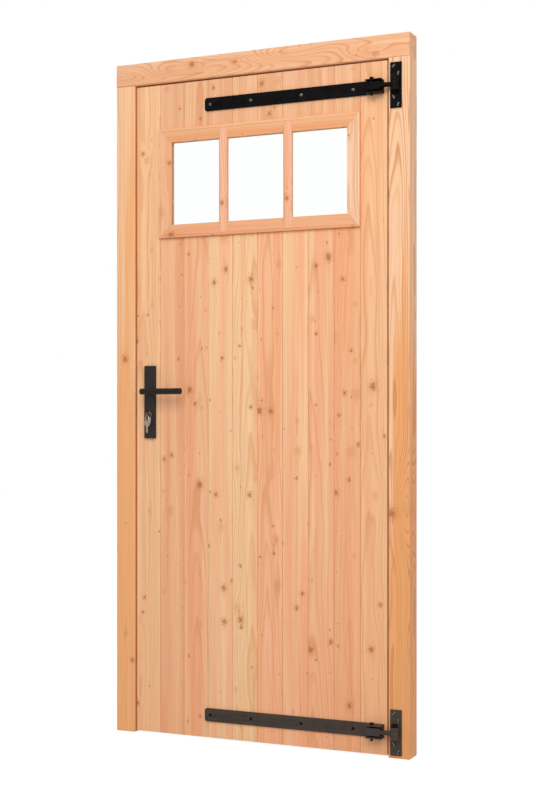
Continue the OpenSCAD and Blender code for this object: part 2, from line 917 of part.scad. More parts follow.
// The key in the cylinder, with the plug that it turns. Its bow is upright and points at the viewer.
module key() {
    front = outer_plate_front - cylinder_proud;
    bow_y = front - key_bow_gap - key_bow / 2;
    color(STEEL) {
        bore_y(lock_x, front, cylinder_height, plug_dia, plug_length);
        block([lock_x - key_thick / 2, bow_y, cylinder_height - key_blade / 2],
            [lock_x + key_thick / 2, front + cut, cylinder_height + key_blade / 2]);
        difference() {
            translate([lock_x - key_thick / 2, bow_y, cylinder_height]) rotate([0, 90, 0])
                cylinder(d = key_bow, h = key_thick);
            translate([lock_x - key_thick, key_plane, cylinder_height]) rotate([0, 90, 0])
                cylinder(d = key_hole, h = key_thick * 2);
        }
    }
}

// The ring hanging in the key's bow, turned a little from the plane of the door.
module key_ring() {
    color(STEEL) translate([lock_x, key_plane, cylinder_height - key_seat - ring_mean / 2])
        rotate([90, 0, -ring_turn]) rotate_extrude() translate([ring_mean / 2, 0]) circle(d = ring_wire);
}

// The spare key, hanging from the ring and turned as far again.
module spare_key() {
    hole_z = cylinder_height - 2 * key_seat - ring_mean;
    bow_drop = spare_bow / 2 - key_hole / 2 - spare_rim;
    color(STEEL) translate([lock_x, key_plane, hole_z]) rotate([0, 0, -2 * ring_turn]) difference() {
        union() {
            translate([-key_thick / 2, 0, -bow_drop]) rotate([0, 90, 0])
                cylinder(d = spare_bow, h = key_thick);
            block([-key_thick / 2, -spare_blade / 2, -spare_length],
                [key_thick / 2, spare_blade / 2, -bow_drop]);
        }
        translate([-key_thick, 0, 0]) rotate([0, 90, 0]) cylinder(d = key_hole, h = key_thick * 2);
    }
}

left_jamb();
right_jamb();
head();
strike_plate();
upper_hinge_plate();
lower_hinge_plate();
hinge_pins();
frame_screws();
left_board();
right_board();
for (i = [1:window_boards]) lower_board(i);
for (i = [1:window_boards]) upper_board(i);
left_stile();
right_stile();
top_ledge();
sill_ledge();
lock_ledge();
bottom_ledge();
upper_brace();
lower_brace();
casing_top();
casing_bottom();
casing_left();
casing_right();
left_bar();
right_bar();
glass_pane();
rear_beads();
upper_strap();
lower_strap();
upper_eye_bolt();
lower_eye_bolt();
clamp_bolts();
leaf_screws();
lock_case();
cylinder_body();  // cylinder
outer_plate();
inner_plate();
outer_lever();
inner_lever();
spindle();
latch_bolt();
deadbolt();
key();
key_ring();
spare_key();
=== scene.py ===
"""Looks of a ledged glazed door in its timber frame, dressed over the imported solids.

Metres, in the part's own frame: the front faces -Y, the hinges are on the +X side, and +Z is up.
Sizes are written in millimetres and turned to metres by MM.
"""

import logging
import math
from dataclasses import dataclass, field, replace
from enum import Enum

import bmesh
import bpy
from mathutils import Matrix, Vector


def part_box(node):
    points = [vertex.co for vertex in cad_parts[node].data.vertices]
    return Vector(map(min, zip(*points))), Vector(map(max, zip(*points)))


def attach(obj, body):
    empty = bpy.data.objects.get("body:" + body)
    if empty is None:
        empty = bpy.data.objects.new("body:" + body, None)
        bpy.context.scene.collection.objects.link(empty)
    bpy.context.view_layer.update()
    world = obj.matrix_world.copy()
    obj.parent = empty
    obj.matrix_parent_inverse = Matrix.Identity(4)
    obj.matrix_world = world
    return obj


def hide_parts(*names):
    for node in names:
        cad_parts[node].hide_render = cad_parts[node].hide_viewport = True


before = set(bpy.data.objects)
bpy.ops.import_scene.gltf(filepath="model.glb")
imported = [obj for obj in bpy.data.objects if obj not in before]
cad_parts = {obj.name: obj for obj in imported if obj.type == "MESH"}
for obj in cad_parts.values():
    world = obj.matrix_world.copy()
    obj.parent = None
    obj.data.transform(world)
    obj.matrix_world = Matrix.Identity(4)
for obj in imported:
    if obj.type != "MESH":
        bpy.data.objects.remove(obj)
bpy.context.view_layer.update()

MM = 0.001
LOG = logging.getLogger("ledged_door")
# Corners this close are one, in millimetres, and edges with at least this angle are rounded, in degrees.
WELD_GAP = 0.005
SHARP = 35.0
# The boards' covering width, in millimetres.
PITCH = 83.0

STRAW = "#f3c89b"
HONEY = "#f0bd8d"
SALMON = "#f3b38a"

Pair = tuple[float, float]
Point = tuple[float, float, float]
Row = tuple[float, ...]
Material = bpy.types.Material
Mesh = bmesh.types.BMesh
Node = bpy.types.Node
Socket = bpy.types.NodeSocket
Source = Node | Socket
Tree = bpy.types.NodeTree

RGBA = {"data_type": "RGBA"}
SMOOTH = {"interpolation_type": "SMOOTHSTEP"}
# The values that a noise reaches often, and nearly all its values, as inputs of a map range.
OFTEN = {1: 0.3, 2: 0.7}
NEARLY_ALL = {1: 0.25, 2: 0.75}
WHITE = (1.0, 1.0, 1.0, 1.0)
# How far a seed moves a streak's noise and a knot layer's cells, along each axis.
STREAK_SHIFT = (1.0, 1.7, 2.3)
CELL_SHIFT = (3.1, 5.3, 0.0)


class Grain(Enum):
    """Which way the fibres of a wooden piece run, as the turn about Y that brings them upright."""

    UPRIGHT = 0.0
    LEVEL = -90.0
    LOWER_BRACE = 33.0
    UPPER_BRACE = 58.0


class Body(Enum):
    """The moving bodies of the part."""

    FRAME = "frame"
    LEAF = "leaf"
    KEY = "key"


class Facing(Enum):
    """The way a screw head looks, as the turn that brings its own +Z there."""

    FRONT = Matrix.Rotation(math.radians(90), 4, "X")
    BACK = Matrix.Rotation(math.radians(-90), 4, "X")
    LEFT = Matrix.Rotation(math.radians(-90), 4, "Y")
    RIGHT = Matrix.Rotation(math.radians(90), 4, "Y")


def linear(colour: str) -> tuple[float, float, float, float]:
    """Turns an sRGB hex colour to linear values.

    Args:
        colour: six hex digits after a hash sign.

    Returns:
        Red, green, blue and a full alpha.
    """
    parts = [int(colour[i : i + 2], 16) / 255 for i in (1, 3, 5)]
    red, green, blue = (c / 12.92 if c <= 0.04045 else ((c + 0.055) / 1.055) ** 2.4 for c in parts)
    return (red, green, blue, 1.0)


def add_node(tree: Tree, kind: str, inputs: dict | None = None, settings: dict | str | None = None) -> Node:
    """Adds a node, sets it up and links or fills its sockets.

    Args:
        tree: the node tree to add to.
        kind: the node's type name after ShaderNode.
        inputs: values, sockets, or nodes that give their first output, by the input's name or number.
        settings: attributes to set on the node, or the operation of a math node.

    Returns:
        The new node.
    """
    node = tree.nodes.new(f"ShaderNode{kind}")
    if isinstance(settings, str):
        settings = {"operation": settings}
    for name, value in (settings or {}).items():
        setattr(node, name, value)
    for key, value in (inputs or {}).items():
        if isinstance(value, Node):
            value = value.outputs[0]
        if isinstance(value, Socket):
            tree.links.new(value, node.inputs[key])
        else:
            node.inputs[key].default_value = value
    return node


def new_material(name: str) -> tuple[Material, Tree]:
    """Starts an empty node material.

    Args:
        name: the finish's name.

    Returns:
        The material and its node tree.
    """
    material = bpy.data.materials.new(name)
    material.use_nodes = True
    material.node_tree.nodes.clear()
    return material, material.node_tree


def close_material(tree: Tree, shader: Node) -> None:
    """Links a shader to the material's output."""
    add_node(tree, "OutputMaterial", {"Surface": shader})


@dataclass(frozen=True)
class Finish:
    """What all finishes share: a name, and one shader whose nodes read Object coordinates."""

    name: str

    def build(self) -> Material:
        """Builds the material.

        Returns:
            The material, closed with its output.
        """
        material, tree = new_material(self.name)
        close_material(tree, add_node(tree, "BsdfPrincipled", self.surface(tree)))
        return material

    def surface(self, tree: Tree) -> dict:
        """Adds the nodes that the shader reads.

        Args:
            tree: the material's nodes.

        Returns:
            The shader's inputs.
        """
        raise NotImplementedError


@dataclass(frozen=True)
class KnotLayer:
    """Knots of one kind, at most one in each cell of a face, in millimetres."""

    cell: Pair
    radius: Pair
    share: float
    halo: float = 3.0
    depth: float = 0.75
    soft: float = 0.4
    core: str = "#b06f40"
    rim: str = "#86502b"
    # How far the rings bulge towards the face round the knot, in knot radii.
    bulge: float = 0.0
    # Where the halo begins, in knot radii, how strong it is, and where the core turns to the rim.
    halo_from: float = 0.9
    halo_share: float = 0.55
    heart: Pair = (0.4, 0.95)


PIN_KNOTS = KnotLayer((40.0, 95.0), (1.0, 4.4), 0.42)
BLOTCHES = KnotLayer((70.0, 170.0), (4.0, 12.0), 0.4, 2.2, 0.3, 0.8, "#d28d57", "#c47a43")
BRANCHES = KnotLayer((0.0, 0.0), (0.0, 0.0), 1.0, 3.2, 0.66, 0.55, "#9c5529", "#a96434")
SWIRLS = KnotLayer((0.0, 0.0), (0.0, 0.0), 1.0, 2.0, 0.14, 0.8, "#c98a55", "#b8733f", 1.9)


@dataclass(frozen=True)
class SoftwoodFinish(Finish):
    """Planed larch, oiled clear: growth rings round a pith behind the face, pin knots and fine fibres.

    The eye sees straw and salmon bands along the board, thin orange latewood lines that bend round
    the knots, small brown knots with a darker rim, and soft brown smudges. Sizes are in millimetres.
    """

    pale: str = STRAW
    blush: str = SALMON
    late: str = "#d08a54"
    blush_level: float = 0.5
    # How much the salmon share falls off upwards, per metre.
    blush_drift: float = 0.04
    grain: Grain = Grain.UPRIGHT
    middle: Point = (0.0, 0.0, 0.0)
    pith: Pair = (20.0, 70.0)
    lean: Pair = (0.004, 0.03)
    # Real rings are 2 to 4 mm wide. They are drawn a little wider, because finer ones don't show.
    ring: float = 4.6
    contrast: float = 0.52
    pins: KnotLayer = PIN_KNOTS
    blotches: KnotLayer = BLOTCHES
    # The larger branch knots, and swirls where a knot hides: X and Z in the part's frame, and the radius.
    branches: tuple[Point, ...] = ()
    swirls: tuple[Point, ...] = ()
    # Real fibres are 0.04 mm wide. They are drawn as bundles, because finer ones don't show.
    fibre: Point = (1.5, 1.5, 110.0)
    # Bands of straw and salmon, changes of tone, the wander of the rings and the ragged edge of knots.
    band: Point = (33.0, 33.0, 1430.0)
    tone: Point = (14.0, 14.0, 900.0)
    wander: Point = (125.0, 125.0, 625.0)
    ragged: float = 5.3
    # How far the rings wander, where in a year the latewood begins and peaks, and the faintest year.
    sway: float = 34.0
    latewood: Pair = (0.4, 0.9)
    faintest: float = 0.15
    # The edge of the bands at no salmon, its way to all salmon, and its softness.
    band_edge: Pair = (0.62, 0.24)
    band_soft: float = 0.09
    fibre_shade: Pair = (0.92, 1.07)
    warmth: float = 0.18
    # A knot's outline and the bent rings round it are longer along the fibres; the bend fades outwards.
    squeeze: Pair = (0.8, 0.28)
    uneven: Pair = (0.45, 1.8)
    fade: float = 0.42
    # A higher power makes small knots more common. A cell without a knot has one too small to see.
    rarity: float = 2.5
    unseen: float = 0.002
    disorder: float = 0.9
    roughness: Pair = (0.62, 0.5)
    # The relief's height, and the latewood's share in it.
    relief: float = 0.4
    ridge: float = 0.6
    bump: float = 0.2
    ior: float = 1.5
    specular: float = 0.25
    seed: float = 0.0

    def surface(self, tree: Tree) -> dict:
        """Adds the bands, rings, fibres and knots.

        Args:
            tree: the material's nodes.

        Returns:
            The shader's inputs.
        """
        turned = self.turn(tree)
        parts = add_node(tree, "SeparateXYZ", {0: turned})
        knots = self.knots(tree, parts)
        lines = self.rings(tree, turned, parts, knots)
        fibre = self.streaks(tree, turned, self.fibre, 3.0)
        colour = self.colour(tree, turned, lines, fibre)
        for knot in knots:
            colour = self.stain(tree, colour, knot)
        rough = add_node(tree, "MapRange", {0: lines, 3: self.roughness[0], 4: self.roughness[1]})
        height = add_node(tree, "Math", {0: lines, 1: self.ridge, 2: fibre}, "MULTIPLY_ADD")
        relief = {"Strength": self.bump, "Distance": self.relief * MM, "Height": height}
        bump = add_node(tree, "Bump", relief)
        gloss = {"IOR": self.ior, "Specular IOR Level": self.specular}
        return {"Base Color": colour, "Roughness": rough, **gloss, "Normal": bump}

    def turn(self, tree: Tree) -> Source:
        """Brings the fibres upright and the piece's middle to the origin.

        Args:
            tree: the material's nodes.

        Returns:
            Coordinates in metres: across the face, through it, and along the fibres.
        """
        place = add_node(tree, "TexCoord").outputs["Object"]
        shift = add_node(tree, "VectorMath", {0: place, 1: [c * MM for c in self.middle]}, "SUBTRACT")
        turn = {"Vector": shift, "Rotation": (0.0, math.radians(self.grain.value), 0.0)}
        return add_node(tree, "Mapping", turn)

    def streaks(self, tree: Tree, turned: Source, size: Point, detail: float) -> Node:
        """Streaks along the fibres.

        Args:
            tree: the material's nodes.
            turned: the turned coordinates.
            size: the streaks' size across, through and along the piece, in millimetres.
            detail: the noise's detail.

        Returns:
            A noise with values round one half.
        """
        scale = [1 / (c * MM) for c in size]
        shift = [self.seed * way for way in STREAK_SHIFT]
        place = add_node(tree, "Mapping", {"Vector": turned, "Scale": scale, "Location": shift})
        return add_node(tree, "TexNoise", {"Vector": place, "Scale": 1.0, "Detail": detail})

    def knots(self, tree: Tree, parts: Node) -> list[dict]:
        """Puts smudges, pin knots, branch knots and swirls on the face.

        Args:
            tree: the material's nodes.
            parts: the separated coordinates.

        Returns:
            For each layer the distance in knot radii, the push on the rings, and the layer itself.
        """
        face = add_node(tree, "CombineXYZ", {0: parts.outputs[0], 1: parts.outputs[2]})
        noise = {"Vector": face, "Scale": 1 / (self.ragged * MM), "Detail": 2.0}
        ragged = add_node(tree, "TexNoise", noise)
        found = []
        for layer in (self.blotches, self.pins):
            offset, radius = self.scatter(tree, face, layer)
            found.append(self.around(tree, offset, radius, ragged))
            found[-1]["layer"] = layer
        angle = math.radians(self.grain.value)
        marks = [(BRANCHES, mark) for mark in self.branches]
        marks += [(SWIRLS, mark) for mark in self.swirls]
        for layer, (x, z, size) in marks:
            right, up = (x - self.middle[0]) * MM, (z - self.middle[2]) * MM
            across = right * math.cos(angle) + up * math.sin(angle)
            along = up * math.cos(angle) - right * math.sin(angle)
            away = add_node(tree, "VectorMath", {0: face, 1: (across, along, 0.0)}, "SUBTRACT")
            found.append(self.around(tree, away, size * MM, ragged))
            found[-1].update(layer=layer, bulge=layer.bulge * size * MM)
        return found

    def scatter(self, tree: Tree, face: Source, layer: KnotLayer) -> tuple[Source, Source]:
        """Scatters the knots of one layer.

        Args:
            tree: the material's nodes.
            face: the coordinates across and along the face.
            layer: the kind of knot.

        Returns:
            The offset from the nearest knot and that knot's radius, in metres.
        """
        across, along = (size * MM for size in layer.cell)
        scale = (1 / across, 1 / along, 0.0)
        shift = [self.seed * way for way in CELL_SHIFT]
        cell = add_node(tree, "Mapping", {"Vector": face, "Scale": scale, "Location": shift})
        flat = {"voronoi_dimensions": "2D", "feature": "F1"}
        random = {"Vector": cell, "Scale": 1.0, "Randomness": self.disorder}
        spots = add_node(tree, "TexVoronoi", random, flat)
        away = add_node(tree, "VectorMath", {0: cell, 1: spots.outputs["Position"]}, "SUBTRACT")
        offset = add_node(tree, "VectorMath", {0: away, 1: (across, along, 0.0)}, "MULTIPLY")
        chance = add_node(tree, "SeparateColor", {0: spots.outputs["Color"]})
        present = add_node(tree, "Math", {0: chance.outputs[0], 1: layer.share}, "LESS_THAN")
        spread = add_node(tree, "Math", {0: chance.outputs[1], 1: self.rarity}, "POWER")
        small, large = (size * MM for size in layer.radius)
        size = add_node(tree, "MapRange", {0: spread, 3: small, 4: large})
        radius = add_node(tree, "Math", {0: present, 1: size, 2: self.unseen * MM}, "MULTIPLY_ADD")
        return offset, radius

    def around(self, tree: Tree, offset: Source, radius: Source | float, ragged: Source) -> dict:
        """Measures the surroundings of a knot.

        Args:
            tree: the material's nodes.
            offset: the way from the knot's middle, in metres.
            radius: the knot's radius, in metres.
            ragged: a noise that makes the outline uneven.

        Returns:
            "near", the distance in knot radii, "pull", which fades away from the knot, and "push",
            how far the rings go aside.
        """
        ratios = []
        for squeeze in self.squeeze:
            flat = add_node(tree, "VectorMath", {0: offset, 1: (1.0, squeeze, 0.0)}, "MULTIPLY")
            span = add_node(tree, "VectorMath", {0: flat}, "LENGTH")
            ratios.append(add_node(tree, "Math", {0: span.outputs["Value"], 1: radius}, "DIVIDE"))
        low, high = self.uneven
        edge = add_node(tree, "MapRange", {0: ragged, **OFTEN, 3: low, 4: high})
        near = add_node(tree, "Math", {0: ratios[0], 1: edge}, "MULTIPLY")
        fade = add_node(tree, "Math", {0: ratios[1], 1: self.fade}, "MULTIPLY")
        square = add_node(tree, "Math", {0: fade, 1: 2.0}, "POWER")
        minus = add_node(tree, "Math", {0: square, 1: -1.0}, "MULTIPLY")
        pull = add_node(tree, "Math", {0: minus}, "EXPONENT")
        side = add_node(tree, "SeparateXYZ", {0: offset})
        push = add_node(tree, "Math", {0: side.outputs[0], 1: pull}, "MULTIPLY")
        return {"near": near, "pull": pull, "push": push}

    def rings(self, tree: Tree, turned: Source, parts: Node, knots: list[dict]) -> Source:
        """Cuts the growth rings of a log with the piece.

        Args:
            tree: the material's nodes.
            turned: the turned coordinates.
            parts: the same, separated.
            knots: the knots, which push the rings aside.

        Returns:
            The latewood, from 0 to 1.
        """
        wander = self.streaks(tree, turned, self.wander, 2.0)
        centred = add_node(tree, "VectorMath", {0: wander.outputs["Color"], 1: (0.5, 0.5, 0.5)}, "SUBTRACT")
        sway = (self.sway * MM, self.sway * MM, 0.0)
        drift = add_node(tree, "VectorMath", {0: centred, 1: sway}, "MULTIPLY")
        aside = parts.outputs[0]
        for knot in knots:
            aside = add_node(tree, "Math", {0: aside, 1: knot["push"]}, "SUBTRACT")
        pith = []
        for begin, lean in zip(self.pith, self.lean):
            line = {0: parts.outputs[2], 1: lean, 2: begin * MM}
            pith.append(add_node(tree, "Math", line, "MULTIPLY_ADD"))
        here = add_node(tree, "CombineXYZ", {0: aside, 1: parts.outputs[1]})
        heart = add_node(tree, "CombineXYZ", {0: pith[0], 1: pith[1]})
        moved = add_node(tree, "VectorMath", {0: here, 1: drift}, "ADD")
        span = add_node(tree, "VectorMath", {0: moved, 1: heart}, "DISTANCE")
        reach = span.outputs["Value"]
        for knot in knots:
            if knot.get("bulge"):
                lift = {0: knot["pull"], 1: knot["bulge"], 2: reach}
                reach = add_node(tree, "Math", lift, "MULTIPLY_ADD")
        years = add_node(tree, "Math", {0: reach, 1: self.ring * MM}, "DIVIDE")
        part = add_node(tree, "Math", {0: years}, "FRACT")
        year = add_node(tree, "Math", {0: years}, "FLOOR")
        begin, peak = self.latewood
        rise = add_node(tree, "MapRange", {0: part, 1: begin, 2: peak}, SMOOTH)
        drop = add_node(tree, "MapRange", {0: part, 1: peak, 2: 1.0, 3: 1.0, 4: 0.0}, SMOOTH)
        odds = add_node(tree, "TexWhiteNoise", {"W": year}, {"noise_dimensions": "1D"})
        season = add_node(tree, "MapRange", {0: odds, 3: self.faintest, 4: 1.0})
        late = add_node(tree, "Math", {0: rise, 1: drop}, "MULTIPLY")
        return add_node(tree, "Math", {0: late, 1: season}, "MULTIPLY")

    def colour(self, tree: Tree, turned: Source, lines: Source, fibre: Source) -> Source:
        """Mixes the straw and salmon bands, the latewood and the fibres.

        Args:
            tree: the material's nodes.
            turned: the turned coordinates.
            lines: the latewood.
            fibre: fine streaks.

        Returns:
            The colour of clear wood.
        """
        bands = self.streaks(tree, turned, self.band, 2.5)
        length = add_node(tree, "SeparateXYZ", {0: turned})
        drift = {0: length.outputs[2], 1: -self.blush_drift, 2: bands}
        mixed = add_node(tree, "Math", drift, "MULTIPLY_ADD")
        edge = self.band_edge[0] - self.band_edge[1] * self.blush_level
        span = {1: edge - self.band_soft, 2: edge + self.band_soft}
        share = add_node(tree, "MapRange", {0: mixed, **span}, SMOOTH)
        early = add_node(tree, "Mix", {0: share, 6: linear(self.pale), 7: linear(self.blush)}, RGBA)
        amount = add_node(tree, "Math", {0: lines, 1: self.contrast}, "MULTIPLY")
        wood = add_node(tree, "Mix", {0: amount, 6: early.outputs[2], 7: linear(self.late)}, RGBA)
        tone = self.streaks(tree, turned, self.tone, 1.0)
        dark, light = self.fibre_shade
        fine = add_node(tree, "MapRange", {0: fibre, **NEARLY_ALL, 3: dark, 4: light})
        broad = add_node(tree, "MapRange", {0: tone, **NEARLY_ALL, 3: self.warmth, 4: 0.0})
        warm = add_node(tree, "Mix", {0: broad, 6: wood.outputs[2], 7: linear(self.late)}, RGBA)
        shaded = {0: 1.0, 6: warm.outputs[2], 7: fine}
        return add_node(tree, "Mix", shaded, {**RGBA, "blend_type": "MULTIPLY"}).outputs[2]

    def stain(self, tree: Tree, colour: Source, knot: dict) -> Source:
        """Lays one layer of knots over the wood.

        Args:
            tree: the material's nodes.
            colour: the colour below.
            knot: the layer and its distances.

        Returns:
            The colour with the knots and their halos.
        """
        layer, near = knot["layer"], knot["near"]
        fading = {1: layer.halo_from, 2: layer.halo, 3: layer.halo_share * layer.depth, 4: 0.0}
        halo = add_node(tree, "MapRange", {0: near, **fading}, SMOOTH)
        tinted = add_node(tree, "Mix", {0: halo, 6: colour, 7: linear(self.late)}, RGBA)
        ring = add_node(tree, "MapRange", {0: near, 1: layer.heart[0], 2: layer.heart[1]})
        heart = add_node(tree, "Mix", {0: ring, 6: linear(layer.core), 7: linear(layer.rim)}, RGBA)
        outline = {1: 1.0 - layer.soft, 2: 1.0 + layer.soft, 3: layer.depth, 4: 0.0}
        inside = add_node(tree, "MapRange", {0: near, **outline}, SMOOTH)
        knotty = {0: inside, 6: tinted.outputs[2], 7: heart.outputs[2]}
        return add_node(tree, "Mix", knotty, RGBA).outputs[2]


@dataclass(frozen=True)
class CoatedSteelFinish(Finish):
    """Black powder coat on steel: nearly black, half matt, with the fine orange peel of baked powder."""

    colour: str = "#211d1c"
    worn: str = "#3a3431"
    roughness: Pair = (0.34, 0.5)
    # Powder coat has a peel of about 1 mm, 0.08 mm deep, and clouds of dust about 36 mm wide.
    peel: float = 1.0
    peel_depth: float = 0.08
    bump: float = 0.25
    cloud: float = 36.0
    dusty: Pair = (0.35, 0.75)
    specular: float = 0.4

    def surface(self, tree: Tree) -> dict:
        """Adds the clouds of dust and the peel.

        Args:
            tree: the material's nodes.

        Returns:
            The shader's inputs.
        """
        place = add_node(tree, "TexCoord").outputs["Object"]
        clouds = {"Vector": place, "Scale": 1 / (self.cloud * MM), "Detail": 5.0}
        cloud = add_node(tree, "TexNoise", clouds)
        grains = {"Vector": place, "Scale": 1 / (self.peel * MM), "Detail": 2.0}
        peel = add_node(tree, "TexNoise", grains)
        blotch = add_node(tree, "MapRange", {0: cloud, 1: self.dusty[0], 2: self.dusty[1]})
        colour = add_node(tree, "Mix", {0: blotch, 6: linear(self.colour), 7: linear(self.worn)}, RGBA)
        smooth, rough = self.roughness
        gloss = add_node(tree, "MapRange", {0: cloud, **OFTEN, 3: smooth, 4: rough})
        relief = {"Strength": self.bump, "Distance": self.peel_depth * MM, "Height": peel}
        bump = add_node(tree, "Bump", relief)
        shine = {"Roughness": gloss, "Specular IOR Level": self.specular}
        return {"Base Color": colour.outputs[2], **shine, "Normal": bump}


@dataclass(frozen=True)
class BrightMetalFinish(Finish):
    """Plated or brushed metal: bright, with fine lines along the way it was drawn or ground."""

    colour: str = "#c3bfb6"
    dull: str = "#9a958b"
    roughness: Pair = (0.22, 0.42)
    # Grinding lines are about 0.3 mm apart, 0.05 mm deep and 40 mm long, and dull patches 17 mm wide.
    lines: Point = (0.3, 0.3, 40.0)
    line_depth: float = 0.05
    bump: float = 0.12
    patch: float = 17.0

    def surface(self, tree: Tree) -> dict:
        """Adds the lines and the dull patches.

        Args:
            tree: the material's nodes.

        Returns:
            The shader's inputs.
        """
        place = add_node(tree, "TexCoord").outputs["Object"]
        scale = [1 / (c * MM) for c in self.lines]
        drawn = add_node(tree, "Mapping", {"Vector": place, "Scale": scale})
        lines = add_node(tree, "TexNoise", {"Vector": drawn, "Scale": 1.0, "Detail": 3.0})
        patches = {"Vector": place, "Scale": 1 / (self.patch * MM), "Detail": 4.0}
        patch = add_node(tree, "TexNoise", patches)
        colour = add_node(tree, "Mix", {0: patch, 6: linear(self.colour), 7: linear(self.dull)}, RGBA)
        smooth, rough = self.roughness
        gloss = add_node(tree, "MapRange", {0: lines, **OFTEN, 3: smooth, 4: rough})
        relief = {"Strength": self.bump, "Distance": self.line_depth * MM, "Height": lines}
        bump = add_node(tree, "Bump", relief)
        return {"Base Color": colour.outputs[2], "Metallic": 1.0, "Roughness": gloss, "Normal": bump}


@dataclass(frozen=True)
class FloatGlassFinish(Finish):
    """Clear float glass: colourless through the face, faintly green at the edges, with a slow ripple."""

    name: str = "float_glass"
    tint: str = "#fdfffe"
    # Float glass bends a reflection in waves about 170 mm long.
    wave: float = 170.0
    wave_depth: float = 0.3
    bump: float = 0.05
    ior: float = 1.5

    def surface(self, tree: Tree) -> dict:
        """Adds the ripple.

        Args:
            tree: the material's nodes.

        Returns:
            The shader's inputs.
        """
        place = add_node(tree, "TexCoord").outputs["Object"]
        waves = {"Vector": place, "Scale": 1 / (self.wave * MM), "Detail": 1.0}
        ripple = add_node(tree, "TexNoise", waves)
        relief = {"Strength": self.bump, "Distance": self.wave_depth * MM, "Height": ripple}
        bump = add_node(tree, "Bump", relief)
        clear = {"Roughness": 0.0, "IOR": self.ior, "Transmission Weight": 1.0}
        return {"Base Color": linear(self.tint), **clear, "Normal": bump}


@dataclass(frozen=True)
class Extent:
    """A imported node's box at rest, in millimetres."""

    low: Vector
    high: Vector

    @property
    def middle(self) -> Vector:
        """The middle of the box."""
        return (self.low + self.high) / 2


def extent(node: str) -> Extent:
    """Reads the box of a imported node.

    Args:
        node: the node's name.

    Returns:
        Its corners, to a thousandth of a millimetre.
    """
    low, high = (Vector([round(c / MM, 3) for c in corner]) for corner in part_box(node))
    return Extent(low, high)


def cover(node: str, material: Material, ease: float = 0.0, segments: int = 2) -> None:
    """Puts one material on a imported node, and rounds the node's edges with live modifiers.

    Args:
        node: the node's name.
        material: its finish.
        ease: the rounding in millimetres, or 0 for none.
        segments: the steps across the rounding.
    """
    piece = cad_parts[node]
    piece.data.materials.clear()
    piece.data.materials.append(material)
    LOG.info("%s: %s", node, material.name)
    if not ease:
        return
    weld = piece.modifiers.new("weld", "WELD")
    weld.merge_threshold = WELD_GAP * MM
    bevel = piece.modifiers.new("ease", "BEVEL")
    bevel.width = ease * MM
    bevel.segments = segments
    bevel.limit_method = "ANGLE"
    bevel.angle_limit = math.radians(SHARP)
    bevel.use_clamp_overlap = True
    bevel.harden_normals = True


def verts_of(made: dict) -> list[bmesh.types.BMVert]:
    """Picks the corners out of what a bmesh operator made."""
    return [item for item in made["geom"] if isinstance(item, bmesh.types.BMVert)]


def to_mesh(bm: Mesh, name: str, material: Material) -> bpy.types.Mesh:
    """Turns a finished bmesh to a mesh of one material.

    Args:
        bm: the bmesh; it is freed here.
        name: the mesh's name.
        material: its finish.

    Returns:
        The new mesh.
    """
    mesh = bpy.data.meshes.new(name)
    bm.to_mesh(mesh)
    bm.free()
    mesh.materials.append(material)
    return mesh


def add_object(name: str, data: bpy.types.ID) -> bpy.types.Object:
    """Makes an object and links it to the scene.

    Args:
        name: the object's name.
        data: its mesh, light or camera.

    Returns:
        The new object, at the origin.
    """
    made = bpy.data.objects.new(name, data)
    bpy.context.scene.collection.objects.link(made)
    return made


def place_piece(bm: Mesh, name: str, body: Body, material: Material) -> bpy.types.Object:
    """Makes an object of a finished bmesh and lets it ride on a body.

    Args:
        bm: the mesh, in the part's frame; it is freed here.
        name: the piece's name.
        body: the body it moves with.
        material: its finish.

    Returns:
        The new piece.
    """
    piece = add_object(name, to_mesh(bm, name, material))
    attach(piece, body.value)
    LOG.info("%s: %d faces on %s", name, len(piece.data.polygons), body.value)
    return piece


